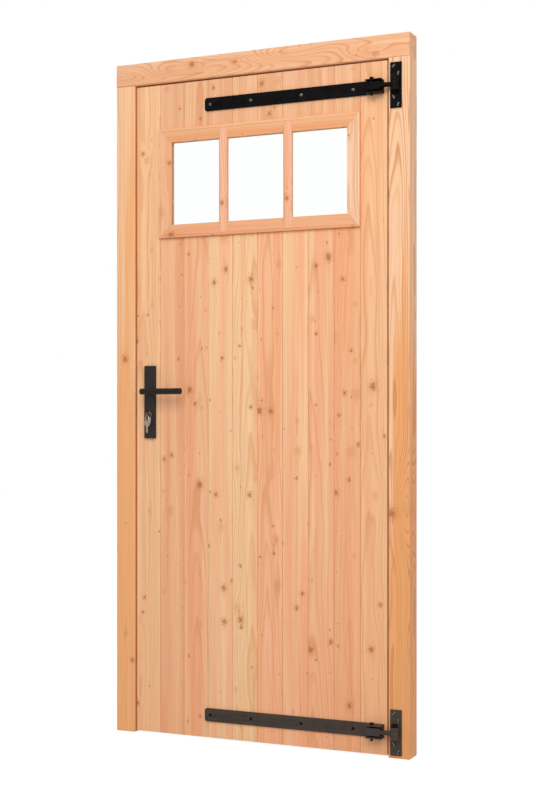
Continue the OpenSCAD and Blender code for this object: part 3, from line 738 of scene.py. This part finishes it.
@dataclass
class ScrewHead:
    """A raised countersunk screw head with a cross recess, in millimetres."""

    diameter: float = 9.5
    proud: float = 0.9
    sink: float = 0.4
    recess: float = 1.6
    taper: float = 0.6
    sides: int = 20
    # The lines of the grid that the cross is cut from, in radii, and the turn from head to head.
    grid: Row = (-0.62, -0.46, -0.12, 0.12, 0.46, 0.62)
    turn: float = 37.0

    def mesh(self) -> bpy.types.Mesh:
        """Models one head that looks along +Z, with its seat at the origin.

        Returns:
            A mesh in metres.
        """
        radius = self.diameter / 2 * MM
        steps = [radius * share for share in self.grid]
        cells = len(steps) - 1
        bm = bmesh.new()
        bmesh.ops.create_grid(bm, x_segments=cells, y_segments=cells, size=1.0)
        for vert in bm.verts:
            vert.co.x = steps[round((vert.co.x + 1) * cells / 2)]
            vert.co.y = steps[round((vert.co.y + 1) * cells / 2)]
        square = [edge for edge in bm.edges if edge.is_boundary]
        ring = bmesh.ops.create_circle(bm, segments=self.sides, radius=radius)["verts"]
        rim = list({edge for vert in ring for edge in vert.link_edges})
        bmesh.ops.bridge_loops(bm, edges=square + rim)
        arms = [face for face in bm.faces if self.in_cross(face.calc_center_median(), steps)]
        for vert in bm.verts:
            vert.co.z = self.proud * MM * (1 - (vert.co.xy.length / radius) ** 2)
        low = verts_of(bmesh.ops.extrude_face_region(bm, geom=arms))
        bmesh.ops.delete(bm, geom=arms, context="FACES_ONLY")
        bmesh.ops.translate(bm, vec=(0, 0, -self.recess * MM), verts=low)
        bmesh.ops.scale(bm, vec=(self.taper, self.taper, 1.0), verts=low)
        down = verts_of(bmesh.ops.extrude_edge_only(bm, edges=rim))
        bmesh.ops.translate(bm, vec=(0, 0, -self.sink * MM), verts=down)
        bmesh.ops.holes_fill(bm, edges=[edge for edge in bm.edges if edge.is_boundary])
        bmesh.ops.recalc_face_normals(bm, faces=bm.faces[:])
        mesh = bpy.data.meshes.new("screw_head")
        bm.to_mesh(mesh)
        bm.free()
        return mesh

    def in_cross(self, point: Vector, steps: list[float]) -> bool:
        """Tells whether a face of the grid is in one of the recess's arms.

        Args:
            point: the face's middle.
            steps: the lines of the grid, in metres.

        Returns:
            True inside the cross.
        """
        arm, width = steps[4], steps[3]
        near, far = sorted((abs(point.x), abs(point.y)))
        return near < width and far < arm

    def scatter(self, points: list[Point], facing: Facing) -> Mesh:
        """Copies the head to each point.

        Args:
            points: where the heads sit, in millimetres.
            facing: the way they look.

        Returns:
            All the heads in one bmesh.
        """
        head = self.mesh()
        bm = bmesh.new()
        for number, point in enumerate(points):
            first = len(bm.verts)
            bm.from_mesh(head)
            bm.verts.ensure_lookup_table()
            spin = Matrix.Rotation(math.radians(self.turn * number % 90), 4, "Z")
            where = Matrix.Translation([c * MM for c in point]) @ facing.value @ spin
            bmesh.ops.transform(bm, matrix=where, verts=bm.verts[first:])
        bpy.data.meshes.remove(head)
        return bm


@dataclass
class TimberFrame:
    """The two jambs and the head."""

    ease: float = 1.2
    strike_inset: float = 9.0
    few_pins: KnotLayer = KnotLayer((50.0, 150.0), (1.2, 2.8), 0.14)
    few_blotches: KnotLayer = KnotLayer((90.0, 300.0), (4.0, 8.0), 0.15, 2.2, 0.25)
    head_blotches: KnotLayer = KnotLayer((60.0, 170.0), (4.0, 12.0), 0.45, 2.4, 0.35)

    def dress(self, steel: Material) -> None:
        """Gives the frame its wood and its strike plate its steel.

        Args:
            steel: the finish of the strike plate and its screws.
        """
        woods = (
            SoftwoodFinish(
                "larch_left_jamb", pale="#f3c499", blush="#efae76", blush_drift=0.12, middle=(-452, 0, 1000),
                pith=(-60, 60), lean=(0.01, 0.012), pins=self.few_pins, blotches=self.few_blotches,
                contrast=0.35, branches=((-454, 1170, 8), (-428, 225, 5)), seed=1.3,
            ),
            SoftwoodFinish(
                "larch_right_jamb", pale="#f4c59d", blush="#eba66d", late="#c27a42", blush_level=0.8,
                blush_drift=0.28, middle=(452, 0, 900), pith=(-14, 40), lean=(0.006, 0.012), ring=3.6,
                pins=self.few_pins, blotches=self.few_blotches, contrast=0.85,
                branches=((431, 706, 10),), swirls=((478, 720, 14),), seed=2.9,
            ),
            SoftwoodFinish(
                "larch_head", pale="#efc3a0", blush="#e8ae84", grain=Grain.LEVEL, middle=(-120, 0, 2060),
                pith=(10, 34), lean=(0.03, 0.09), pins=self.few_pins, blotches=self.head_blotches,
                contrast=0.85, branches=((-218, 2073, 8), (-70, 2066, 5)),
                swirls=((-294, 2068, 14), (88, 2080, 12), (355, 2056, 8)), seed=4.1,
            ),
        )
        for node, wood in zip(("left_jamb", "right_jamb", "head"), woods):
            cover(node, wood.build(), self.ease)
        cover("strike_plate", steel)
        cover("frame_screws", steel)
        strike = extent("strike_plate")
        heights = (strike.low.z + self.strike_inset, strike.high.z - self.strike_inset)
        points = [(strike.high.x, strike.middle.y, z) for z in heights]
        heads = ScrewHead(proud=0.3).scatter(points, Facing.RIGHT)
        place_piece(heads, "strike_screw_heads", Body.FRAME, steel)


@dataclass(frozen=True)
class Enlargement:
    """Knots as read off an enlarged part of the photograph.

    The part begins at a column and a row of the photograph. Each knot has its pixels from the
    enlargement's left and top edges, and its radius in millimetres.
    """

    left: float
    top: float
    zoom: float
    knots: tuple[Point, ...]


# Three parts were enlarged four times, and then shown at 2000 of their 2130 pixels.
STRIP_ZOOM = 4 * 2000 / 2130


@dataclass
class BoardedLeaf:
    """The ten V-jointed boards, each cut from another plank."""

    ease: float = 0.5
    tones: tuple[tuple[str, str, float], ...] = (
        ("#f3c193", "#ecb182", 0.4), ("#f0b98e", "#e9a67e", 0.6), ("#f0ba90", "#efa87f", 0.65),
        (STRAW, SALMON, 0.3), (STRAW, HONEY, 0.4), ("#f4ba92", "#f2ae84", 0.8), (STRAW, "#f3af85", 0.6),
        ("#efc398", "#efad84", 0.7), ("#ecb98b", "#eda87d", 0.65), ("#efbd8f", "#ecb082", 0.5),
    )
    # The heights that the grain of the lower and the upper boards is drawn from.
    part_heights: Pair = (700.0, 1600.0)
    tilt: float = 0.004
    seed_steps: Pair = (2.37, 0.61)
    # The short boards above the window are all of one tone.
    upper_tone: tuple[str, str, float] = ("#eab78f", "#e3a97f", 0.5)
    piths: tuple[Pair, ...] = (
        (-30, 60), (90, 40), (12, 72), (-110, 50), (20, 58), (-8, 66), (120, 30),
        (-24, 80), (14, 55), (-14, 62),
    )
    shares: Row = (0.24, 0.34, 0.34, 0.38, 0.34, 0.28, 0.38, 0.34, 0.28, 0.24)
    # The larger knots, as three enlargements and the photograph itself show them.
    views: tuple[Enlargement, ...] = (
        Enlargement(135.0, 230.0, STRIP_ZOOM, (
            (205, 600, 8), (297, 197, 6), (340, 148, 6), (435, 185, 7), (680, 135, 5), (727, 102, 9),
            (780, 185, 5), (787, 612, 5), (893, 588, 9),
        )),
        Enlargement(135.0, 400.0, STRIP_ZOOM, (
            (110, 222, 5), (137, 207, 5), (225, 15, 5), (243, 318, 9), (305, 355, 5), (430, 357, 6),
            (468, 40, 8), (510, 42, 7), (755, 348, 6), (838, 167, 5),
        )),
        Enlargement(135.0, 570.0, STRIP_ZOOM, (
            (30, 158, 4), (37, 103, 4), (333, 68, 7), (335, 193, 7), (397, 188, 7), (608, 143, 5),
            (628, 90, 5), (660, 300, 8), (735, 270, 6), (805, 510, 7), (887, 298, 7), (922, 132, 5),
        )),
        Enlargement(0.0, 0.0, 1.0, (
            (143, 154, 5), (213.3, 87.7, 5), (261.7, 83.3, 8), (269.3, 114, 5), (336.7, 88.3, 5),
        )),
    )

    def knots(self, studio: "Studio") -> list[Point]:
        """Finds the larger knots on the boards' faces.

        Args:
            studio: the camera of the photograph.

        Returns:
            X and Z in the part's frame and the radius, in whole millimetres.
        """
        face = extent("left_board").low.y
        found = []
        for view in self.views:
            for across, down, radius in view.knots:
                column, row = view.left + across / view.zoom, view.top + down / view.zoom
                x, z = studio.on_face(column, row, face)
                found.append((round(x), round(z), radius))
        return found

    def dress(self, studio: "Studio") -> None:
        """Gives every board its own wood.

        Args:
            studio: the camera of the photograph.
        """
        knots = self.knots(studio)
        corner = extent("left_board").low
        last = len(self.tones) - 1
        for i in range(len(self.tones)):
            middle = corner.x + (i + 0.5) * PITCH
            branches = tuple(knot for knot in knots if abs(knot[0] - middle) < PITCH / 2)
            if i in (0, last):
                nodes = ["left_board" if i == 0 else "right_board"]
            else:
                nodes = [f"lower_board_{i}", f"upper_board_{i}"]
            for part, node in enumerate(nodes):
                pale, blush, level = self.upper_tone if part else self.tones[i]
                wood = SoftwoodFinish(
                    f"larch_{node}", pale=pale, blush=blush, blush_level=level,
                    middle=(middle, corner.y, self.part_heights[part]), pith=self.piths[i],
                    lean=(self.tilt * (-1) ** i, self.tilt * 2 + self.tilt * (i % 4)),
                    pins=replace(PIN_KNOTS, share=self.shares[i]), branches=branches,
                    seed=1.0 + self.seed_steps[0] * i + self.seed_steps[1] * part,
                )
                cover(node, wood.build(), self.ease)


@dataclass
class RearFrame:
    """Stiles, ledges and braces behind the boards, with the screws that hold the boards."""

    ease: float = 1.5
    board_middles: tuple[int, ...] = (-4, -3, -2, -1, 0, 1, 2, 3)
    ledges: tuple[str, ...] = ("top_ledge", "sill_ledge", "lock_ledge", "bottom_ledge")
    pins: KnotLayer = KnotLayer((60.0, 170.0), (2.0, 6.0), 0.35)
    pales: tuple[str, ...] = ("#f0bb90", "#eeb68a", "#f2c097")
    # The pith's place changes from piece to piece.
    pith: Pair = (15.0, -60.0)
    pith_step: float = -8.0
    lean: Pair = (0.006, 0.03)
    screw_rise: float = 38.0
    stile_screws: Row = (80.0, 330.0, 580.0, 830.0, 1230.0, 1480.0, 1730.0, 1940.0)
    # Half of each brace's run across.
    braces: tuple[tuple[str, float], ...] = (("lower_brace", 260.0), ("upper_brace", 230.0))
    brace_boards: tuple[int, ...] = (-3, -2, -1, 0, 1, 2)

    def dress(self, zinc: Material) -> None:
        """Gives the rear frame its wood and its screws.

        Args:
            zinc: the finish of the screws.
        """
        pieces = (
            ("left_stile", Grain.UPRIGHT, (-367.5, 36.0, 800.0), 5.2),
            ("right_stile", Grain.UPRIGHT, (367.5, 36.0, 1200.0), 6.7),
            ("top_ledge", Grain.LEVEL, (40.0, 36.0, 1943.5), 8.3),
            ("sill_ledge", Grain.LEVEL, (-60.0, 36.0, 1481.5), 9.1),
            ("lock_ledge", Grain.LEVEL, (90.0, 36.0, 1030.0), 10.9),
            ("bottom_ledge", Grain.LEVEL, (-20.0, 36.0, 77.0), 12.2),
            ("upper_brace", Grain.UPPER_BRACE, (0.0, 36.0, 1250.0), 13.7),
            ("lower_brace", Grain.LOWER_BRACE, (0.0, 36.0, 550.0), 15.4),
        )
        for number, (node, grain, middle, seed) in enumerate(pieces):
            wood = SoftwoodFinish(
                f"larch_{node}", pale=self.pales[number % len(self.pales)], grain=grain, middle=middle,
                pith=(self.pith[0] * (-1) ** number, self.pith[1] + self.pith_step * number),
                lean=self.lean, pins=self.pins, seed=seed,
            )
            cover(node, wood.build(), self.ease)
        back = extent("left_stile").high.y
        points = [
            ((i + 0.5) * PITCH, back, extent(ledge).middle.z + rise)
            for ledge in self.ledges
            for i in self.board_middles
            for rise in (-self.screw_rise, self.screw_rise)
        ]
        for stile in ("left_stile", "right_stile"):
            points += [(extent(stile).middle.x, back, z) for z in self.stile_screws]
        for brace, run in self.braces:
            foot, top = extent(brace).low.z, extent(brace).high.z
            for i in self.brace_boards:
                x = (i + 0.5) * PITCH
                points.append((x, back, foot + (top - foot) * (run - x) / (2 * run)))
        heads = ScrewHead(diameter=8.0, proud=0.25).scatter(points, Facing.BACK)
        place_piece(heads, "rear_screw_heads", Body.LEAF, zinc)


@dataclass
class GlazedWindow:
    """The mitred casing, the glazing bars, the glass and its beads."""

    ease: float = 0.8
    pins: KnotLayer = KnotLayer((45.0, 110.0), (1.2, 2.6), 0.2)
    # The pith's place and the seed change from piece to piece.
    pith: Pair = (70.0, 40.0)
    pith_step: float = -25.0
    lean: Pair = (0.01, 0.02)
    contrast: float = 0.6
    seeds: Pair = (17.0, 1.9)

    def dress(self) -> None:
        """Gives the window its wood and glass."""
        level, upright = Grain.LEVEL, Grain.UPRIGHT
        pieces = (
            ("casing_top", level, (60.0, 0.0, 1859.0), "#efb689", "#eba676", ()),
            ("casing_bottom", level, (-90.0, 0.0, 1563.0), "#e8ac82", "#e49d72", ((-290.0, 1552.0, 8.0),)),
            ("casing_left", upright, (-312.0, 0.0, 1700.0), "#ecbe96", "#e8ac82", ((-298.0, 1775.0, 5.0),)),
            ("casing_right", upright, (312.0, 0.0, 1760.0), "#f5cdac", "#f1ba95", ()),
            ("left_bar", upright, (-112.0, 0.0, 1650.0), "#f0bb9a", "#eca985", ((-114.0, 1639.0, 6.0),)),
            ("right_bar", upright, (102.0, 0.0, 1720.0), "#f0bb9a", "#eca985", ((101.0, 1640.0, 6.0),)),
            ("rear_beads", upright, (0.0, 20.0, 1700.0), "#f5c49c", "#f1b287", ()),
        )
        for number, (node, grain, middle, pale, blush, branches) in enumerate(pieces):
            wood = SoftwoodFinish(
                f"larch_{node}", pale=pale, blush=blush, grain=grain, middle=middle,
                pith=(self.pith[0] + self.pith_step * number, self.pith[1]), lean=self.lean,
                pins=self.pins, contrast=self.contrast, branches=branches,
                seed=self.seeds[0] + self.seeds[1] * number,
            )
            cover(node, wood.build(), self.ease)
        cover("glass_pane", FloatGlassFinish().build())


@dataclass
class StrapHinges:
    """The straps, eye bolts, clamp bolts, hinge plates and pins, with their screws and rod threads."""

    strap_screws: Row = (-156.0, -19.0, 146.0, 311.0)
    plate_screws: tuple[Pair, ...] = ((-7, 56), (7, 34), (-7, -34), (7, -56))
    # The thread begins past the strap's end.
    rod_gap: float = 1.0
    rod_length: float = 24.0
    thread_crest: float = 7.0
    thread_root: float = 6.4
    thread_pitch: float = 2.0
    thread_wall: float = 0.6
    thread_sides: int = 32
    merge: float = 0.001
    ease: float = 0.6

    def dress(self, upper: Material, lower: Material, screw: Material, bright: Material) -> None:
        """Gives the hinges their coat and adds screw heads and threads.

        Args:
            upper: the finish of the upper hinge, nearly black and glossy.
            lower: the finish of the lower hinge: more matt, and drawn greyer, a painted reflection of the
                floor and lamps.
            screw: the finish of the upper plate's screw heads.
            bright: the finish of the upper strap's screw heads, a zinc drawn lighter than the other screws
                as a painted highlight, so that they glint.
        """
        for level, black in (("upper", upper), ("lower", lower)):
            for node in (f"{level}_strap", f"{level}_hinge_plate", f"{level}_eye_bolt"):
                cover(node, black, self.ease)
        for node in ("clamp_bolts", "hinge_pins"):
            cover(node, upper, self.ease)
        cover("leaf_screws", upper)
        strap_face, plate_face = extent("leaf_screws").low.y, extent("frame_screws").low.y
        finishes = (("lower", lower, upper, upper), ("upper", upper, screw, bright))
        for level, black, dark, strap in finishes:
            z = extent(f"{level}_strap").middle.z
            middle = extent(f"{level}_hinge_plate").middle.x
            points = [(x, strap_face, z) for x in self.strap_screws]
            heads = ScrewHead().scatter(points, Facing.FRONT)
            place_piece(heads, f"{level}_strap_screw_heads", Body.LEAF, strap)
            points = [(middle + x, plate_face, z + rise) for x, rise in self.plate_screws]
            heads = ScrewHead().scatter(points, Facing.FRONT)
            place_piece(heads, f"{level}_plate_screw_heads", Body.FRAME, dark)
            place_piece(self.thread(level), f"{level}_rod_thread", Body.LEAF, black)

    def thread(self, level: str) -> Mesh:
        """Models the thread on an eye bolt's rod, as ridges spun round the rod.

        Args:
            level: the hinge, upper or lower.

        Returns:
            A closed sleeve in the part's frame.
        """
        bm = bmesh.new()
        x = extent(f"{level}_strap").high.x + self.rod_gap
        end = x + self.rod_length
        outline = [(x, self.thread_root - self.thread_wall)]
        while x < end:
            outline += [(x, self.thread_root), (x + self.thread_pitch / 2, self.thread_crest)]
            x += self.thread_pitch
        outline += [(x, self.thread_root), (x, self.thread_root - self.thread_wall)]
        verts = [bm.verts.new((along * MM, 0.0, out * MM)) for along, out in outline]
        edges = [bm.edges.new(pair) for pair in zip(verts, verts[1:] + verts[:1])]
        bmesh.ops.spin(
            bm, geom=verts + edges, cent=(0, 0, 0), axis=(1, 0, 0), dvec=(0, 0, 0),
            angle=math.tau, steps=self.thread_sides, use_merge=True, use_duplicate=False,
        )
        bmesh.ops.remove_doubles(bm, verts=bm.verts[:], dist=self.merge * MM)
        bmesh.ops.recalc_face_normals(bm, faces=bm.faces[:])
        axis = extent(f"{level}_eye_bolt").middle
        bmesh.ops.translate(bm, vec=(0.0, axis.y * MM, axis.z * MM), verts=bm.verts[:])
        return bm


@dataclass
class LeverLock:
    """Handle plates, levers, cylinder, lock case and bolts."""

    bolt_inset: float = 13.0
    forend_inset: float = 11.0
    plate_ease: float = 1.2
    lock_ease: float = 0.4

    def dress(self, black: Material, sheen: Material, steel: Material) -> None:
        """Gives the handle its coat and the lock its steel.

        Args:
            black: the finish of the plates.
            sheen: the finish of the levers, which hands keep smooth.
            steel: the finish of the lock.
        """
        for node in ("outer_plate", "inner_plate"):
            cover(node, black, self.plate_ease, 3)
        for node in ("outer_lever", "inner_lever"):
            cover(node, sheen)
        for node in ("spindle", "cylinder"):
            cover(node, steel)
        for node in ("lock_case", "latch_bolt", "deadbolt"):
            cover(node, steel, self.lock_ease)
        plate = extent("inner_plate")
        heights = (plate.low.z + self.bolt_inset, plate.high.z - self.bolt_inset)
        points = [(plate.middle.x, plate.high.y, z) for z in heights]
        heads = ScrewHead(diameter=9.0, proud=0.5).scatter(points, Facing.BACK)
        place_piece(heads, "handle_bolt_heads", Body.LEAF, black)
        case = extent("lock_case")
        heights = (case.low.z + self.forend_inset, case.high.z - self.forend_inset)
        points = [(case.low.x, case.middle.y, z) for z in heights]
        heads = ScrewHead(diameter=8.0, proud=0.3).scatter(points, Facing.LEFT)
        place_piece(heads, "forend_screw_heads", Body.LEAF, steel)


@dataclass
class KeyBunch:
    """The key in the cylinder, the ring, and the spare key with its cuts."""

    turn: float = -50.0
    thick: float = 2.4
    hole: float = 2.0
    hole_rise: float = 1.5
    bow: float = 10.0
    bow_drop: float = 5.5
    collar: Pair = (4.6, -17.0)
    blade: float = 3.5
    tip: float = -37.0
    cuts: Row = (1.1, 2.3, 0.8, 1.9, 1.5)
    cut_pitch: float = 3.6
    first_cut: float = -19.2
    flat: float = 0.6
    crest: float = 1.3
    ease: float = 0.22
    key_ease: float = 0.3
    bow_sides: int = 40
    hole_sides: int = 24
    # The tip's two corners across the key, and the slope up to its straight edge.
    tip_edge: Pair = (0.6, -1.4)
    tip_slope: float = 2.0
    sharp: float = 60.0

    def dress(self, nickel: Material, ring: Material) -> None:
        """Gives the keys and their ring their metal.

        Args:
            nickel: the finish of the keys.
            ring: the finish of the ring.
        """
        cover("key_ring", ring)
        cover("key", nickel, self.key_ease)
        spare = place_piece(self.spare(), "cut_spare_key", Body.KEY, nickel)
        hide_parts("spare_key")

    def outline(self) -> list[Pair]:
        """Draws the spare key: bow, collar, five cuts and tip.

        Returns:
            Points across and along the key, round its hole's middle, in millimetres.
        """
        wide, low = self.collar
        neck = math.asin(wide / self.bow)
        steps = self.bow_sides
        turns = [neck + (math.tau - 2 * neck) * i / steps for i in range(steps + 1)]
        points = [(-self.bow * math.sin(a), -self.bow_drop - self.bow * math.cos(a)) for a in turns]
        points += [(wide, low), (self.blade, low)]
        for i, depth in enumerate(self.cuts):
            z = self.first_cut - i * self.cut_pitch
            after = self.cuts[min(i + 1, len(self.cuts) - 1)]
            peak = max(0.0, (depth + after) / 2 - self.crest)
            points += [(self.blade - depth, z + self.flat), (self.blade - depth, z - self.flat)]
            points.append((self.blade - peak, z - self.cut_pitch / 2))
        points += [(across, self.tip) for across in self.tip_edge]
        points.append((-self.blade, self.tip + self.tip_slope))
        return points + [(-self.blade, low), (-wide, low)]

    def spare(self) -> Mesh:
        """Models the spare key as a plate with a hole.

        Returns:
            A closed mesh in the part's frame.
        """
        bm = bmesh.new()
        turns = [math.tau * i / self.hole_sides for i in range(self.hole_sides)]
        eye = [(self.hole * math.sin(a), self.hole_rise + self.hole * math.cos(a)) for a in turns]
        edges = []
        for points in (self.outline(), eye):
            side = -self.thick / 2 * MM
            verts = [bm.verts.new((side, across * MM, along * MM)) for across, along in points]
            edges += [bm.edges.new(pair) for pair in zip(verts, verts[1:] + verts[:1])]
        bmesh.ops.triangle_fill(bm, edges=edges, use_beauty=True)
        far = verts_of(bmesh.ops.extrude_face_region(bm, geom=bm.faces[:]))
        bmesh.ops.translate(bm, vec=(self.thick * MM, 0.0, 0.0), verts=far)
        bmesh.ops.recalc_face_normals(bm, faces=bm.faces[:])
        rim = [edge for edge in bm.edges if edge.calc_face_angle(0.0) > math.radians(self.sharp)]
        bmesh.ops.bevel(
            bm, geom=rim, offset=self.ease * MM, offset_type="OFFSET", affect="EDGES", segments=2,
            profile=0.5, material=-1, clamp_overlap=True,
        )
        bmesh.ops.rotate(bm, matrix=Matrix.Rotation(math.radians(self.turn), 3, "Z"), verts=bm.verts[:])
        plain = extent("spare_key")
        hang = Vector((plain.middle.x, plain.middle.y, plain.low.z - self.tip))
        bmesh.ops.translate(bm, vec=hang * MM, verts=bm.verts[:])
        return bm


@dataclass
class Studio:
    """A white floor and sky, two soft lights, and the camera of the photograph."""

    camera_place: Point = (1.78953, -3.89182, 0.96692)
    camera_yaw: float = 24.281
    lens: float = 63.9436
    lift: float = 0.029423
    sky: float = 0.68
    sensor: float = 36.0
    photo: tuple[int, int] = (533, 800)
    # The point that the lamps look at, the floor's side, and its tones for light and for the eye.
    aim: Point = (0.0, 0.0, 1.05)
    floor_side: float = 12.0
    floor_lit: float = 0.6
    floor_seen: float = 0.2
    floor_glow: float = 0.9
    lamps: list[tuple[str, Point, float, float]] = field(
        default_factory=lambda: [
            ("key_light", (1.3, -3.4, 3.6), 2.4, 92.0),
            ("fill_light", (2.9, -2.8, 1.3), 2.2, 18.0),
        ]
    )

    def build(self) -> None:
        """Builds the floor, the light and the camera."""
        self.world()
        self.floor()
        for name, place, size, power in self.lamps:
            self.lamp(name, place, size, power)
        self.camera()
        bpy.context.scene.view_settings.view_transform = "Standard"

    def on_face(self, column: float, row: float, depth: float) -> Pair:
        """Finds what a pixel of the photograph shows on an upright face.

        Args:
            column: pixels from the photograph's left edge.
            row: pixels from its top edge.
            depth: the face's Y in millimetres.

        Returns:
            X and Z in the part's frame, in millimetres.
        """
        wide, high = self.photo
        focal = self.lens / self.sensor * high
        aside = (column - wide / 2) / focal
        rise = (high / 2 - row + self.lift * high) / focal
        yaw = math.radians(self.camera_yaw)
        x, y, z = (c / MM for c in self.camera_place)
        reach = (depth - y) / (aside * math.sin(yaw) + math.cos(yaw))
        return x + reach * (aside * math.cos(yaw) - math.sin(yaw)), z + reach * rise

    def seen(self, tree: Tree) -> Socket:
        """Tells rays that the eye, a mirror or a pane sees from rays that only light.

        Args:
            tree: the nodes to add to.

        Returns:
            1 for camera, glossy and transmission rays, and 0 for the rest.
        """
        path = add_node(tree, "LightPath").outputs
        rays = {0: path["Is Camera Ray"], 1: path["Is Glossy Ray"]}
        glossy = add_node(tree, "Math", rays, "MAXIMUM")
        return add_node(tree, "Math", {0: glossy, 1: path["Is Transmission Ray"]}, "MAXIMUM").outputs[0]

    def world(self) -> None:
        """Makes an even sky that looks white and lights softly."""
        world = bpy.data.worlds.new("white_studio")
        world.use_nodes = True
        tree = world.node_tree
        tree.nodes.clear()
        light = add_node(tree, "Background", {"Color": WHITE, "Strength": self.sky})
        white = add_node(tree, "Background", {"Color": WHITE, "Strength": 1.0})
        mix = add_node(tree, "MixShader", {0: self.seen(tree), 1: light, 2: white})
        add_node(tree, "OutputWorld", {"Surface": mix})
        bpy.context.scene.world = world

    def floor(self) -> None:
        """Makes the white floor, which keeps the object's shadow."""
        material, tree = new_material("white_floor")
        matt = add_node(tree, "BsdfDiffuse", {"Color": (*[self.floor_lit] * 3, 1.0)})
        faint = add_node(tree, "BsdfDiffuse", {"Color": (*[self.floor_seen] * 3, 1.0)})
        glow = add_node(tree, "Emission", {"Color": WHITE, "Strength": self.floor_glow})
        both = add_node(tree, "AddShader", {0: faint, 1: glow})
        mix = add_node(tree, "MixShader", {0: self.seen(tree), 1: matt, 2: both})
        close_material(tree, mix)
        bm = bmesh.new()
        bmesh.ops.create_grid(bm, x_segments=1, y_segments=1, size=self.floor_side)
        floor = add_object("floor", to_mesh(bm, "floor", material))

    def lamp(self, name: str, place: Point, size: float, power: float) -> None:
        """Hangs one soft light that looks at the middle of the door.

        Args:
            name: the lamp's name.
            place: where it hangs, in metres.
            size: the side of its square face, in metres.
            power: its power in watts.
        """
        light = bpy.data.lights.new(name, "AREA")
        light.shape = "SQUARE"
        light.size = size
        light.energy = power
        lamp = add_object(name, light)
        lamp.location = place
        way = Vector(self.aim) - Vector(place)
        lamp.rotation_euler = way.to_track_quat("-Z", "Y").to_euler()

    def camera(self) -> None:
        """Sets up the camera where the photograph was taken from."""
        data = bpy.data.cameras.new("camera")
        data.lens = self.lens
        data.sensor_width = self.sensor
        data.shift_y = self.lift
        camera = add_object("camera", data)
        camera.location = self.camera_place
        camera.rotation_euler = (math.radians(90), 0.0, math.radians(self.camera_yaw))
        bpy.context.scene.camera = camera


def main() -> None:
    """Dresses the part, piece by piece."""
    logging.basicConfig(level=logging.INFO, format="%(message)s")
    glossy = CoatedSteelFinish(
        "clean_powder_coat", colour="#0a0808", worn="#131010", roughness=(0.28, 0.42), specular=0.05
    )
    # The lower hinge's coat is more matt, and its grey colour is a painted reflection of the floor and
    # lamps.
    matt_painted_reflection = CoatedSteelFinish(
        "matt_painted_reflection_coat", colour="#3a312b", worn="#463b33", roughness=(0.45, 0.6), specular=0.2
    )
    satin = CoatedSteelFinish(
        "handle_powder_coat", colour="#221d1b", worn="#2c2623", roughness=(0.38, 0.5), specular=0.22
    )
    sheen = CoatedSteelFinish(
        "lever_powder_coat", colour="#120f0e", worn="#1a1614", roughness=(0.24, 0.34), specular=0.2
    )
    screws = BrightMetalFinish("black_zinc", colour="#2f2b29", dull="#181513", roughness=(0.22, 0.4))
    # The upper strap's screw heads are drawn in a lighter zinc than the same screws elsewhere: a painted
    # highlight, so that they glint.
    glint_zinc = BrightMetalFinish("glint_brightened_zinc", colour="#8d8680", dull="#3a3532", roughness=(0.22, 0.4))
    steel = BrightMetalFinish("brushed_steel").build()
    zinc = BrightMetalFinish("bright_zinc", colour="#d6d1c4", dull="#b3ac9c").build()
    nickel = BrightMetalFinish("nickel_silver", colour="#8f8171", dull="#65594e", roughness=(0.3, 0.45))
    bright = BrightMetalFinish("bright_nickel", colour="#e2ddd4", dull="#c4beb4", roughness=(0.25, 0.4))
    studio = Studio()
    TimberFrame().dress(steel)
    BoardedLeaf().dress(studio)
    RearFrame().dress(zinc)
    GlazedWindow().dress()
    StrapHinges().dress(glossy.build(), matt_painted_reflection.build(), screws.build(), glint_zinc.build())
    LeverLock().dress(satin.build(), sheen.build(), steel)
    KeyBunch().dress(nickel.build(), bright.build())
    studio.build()


if __name__ == "__main__":
    main()
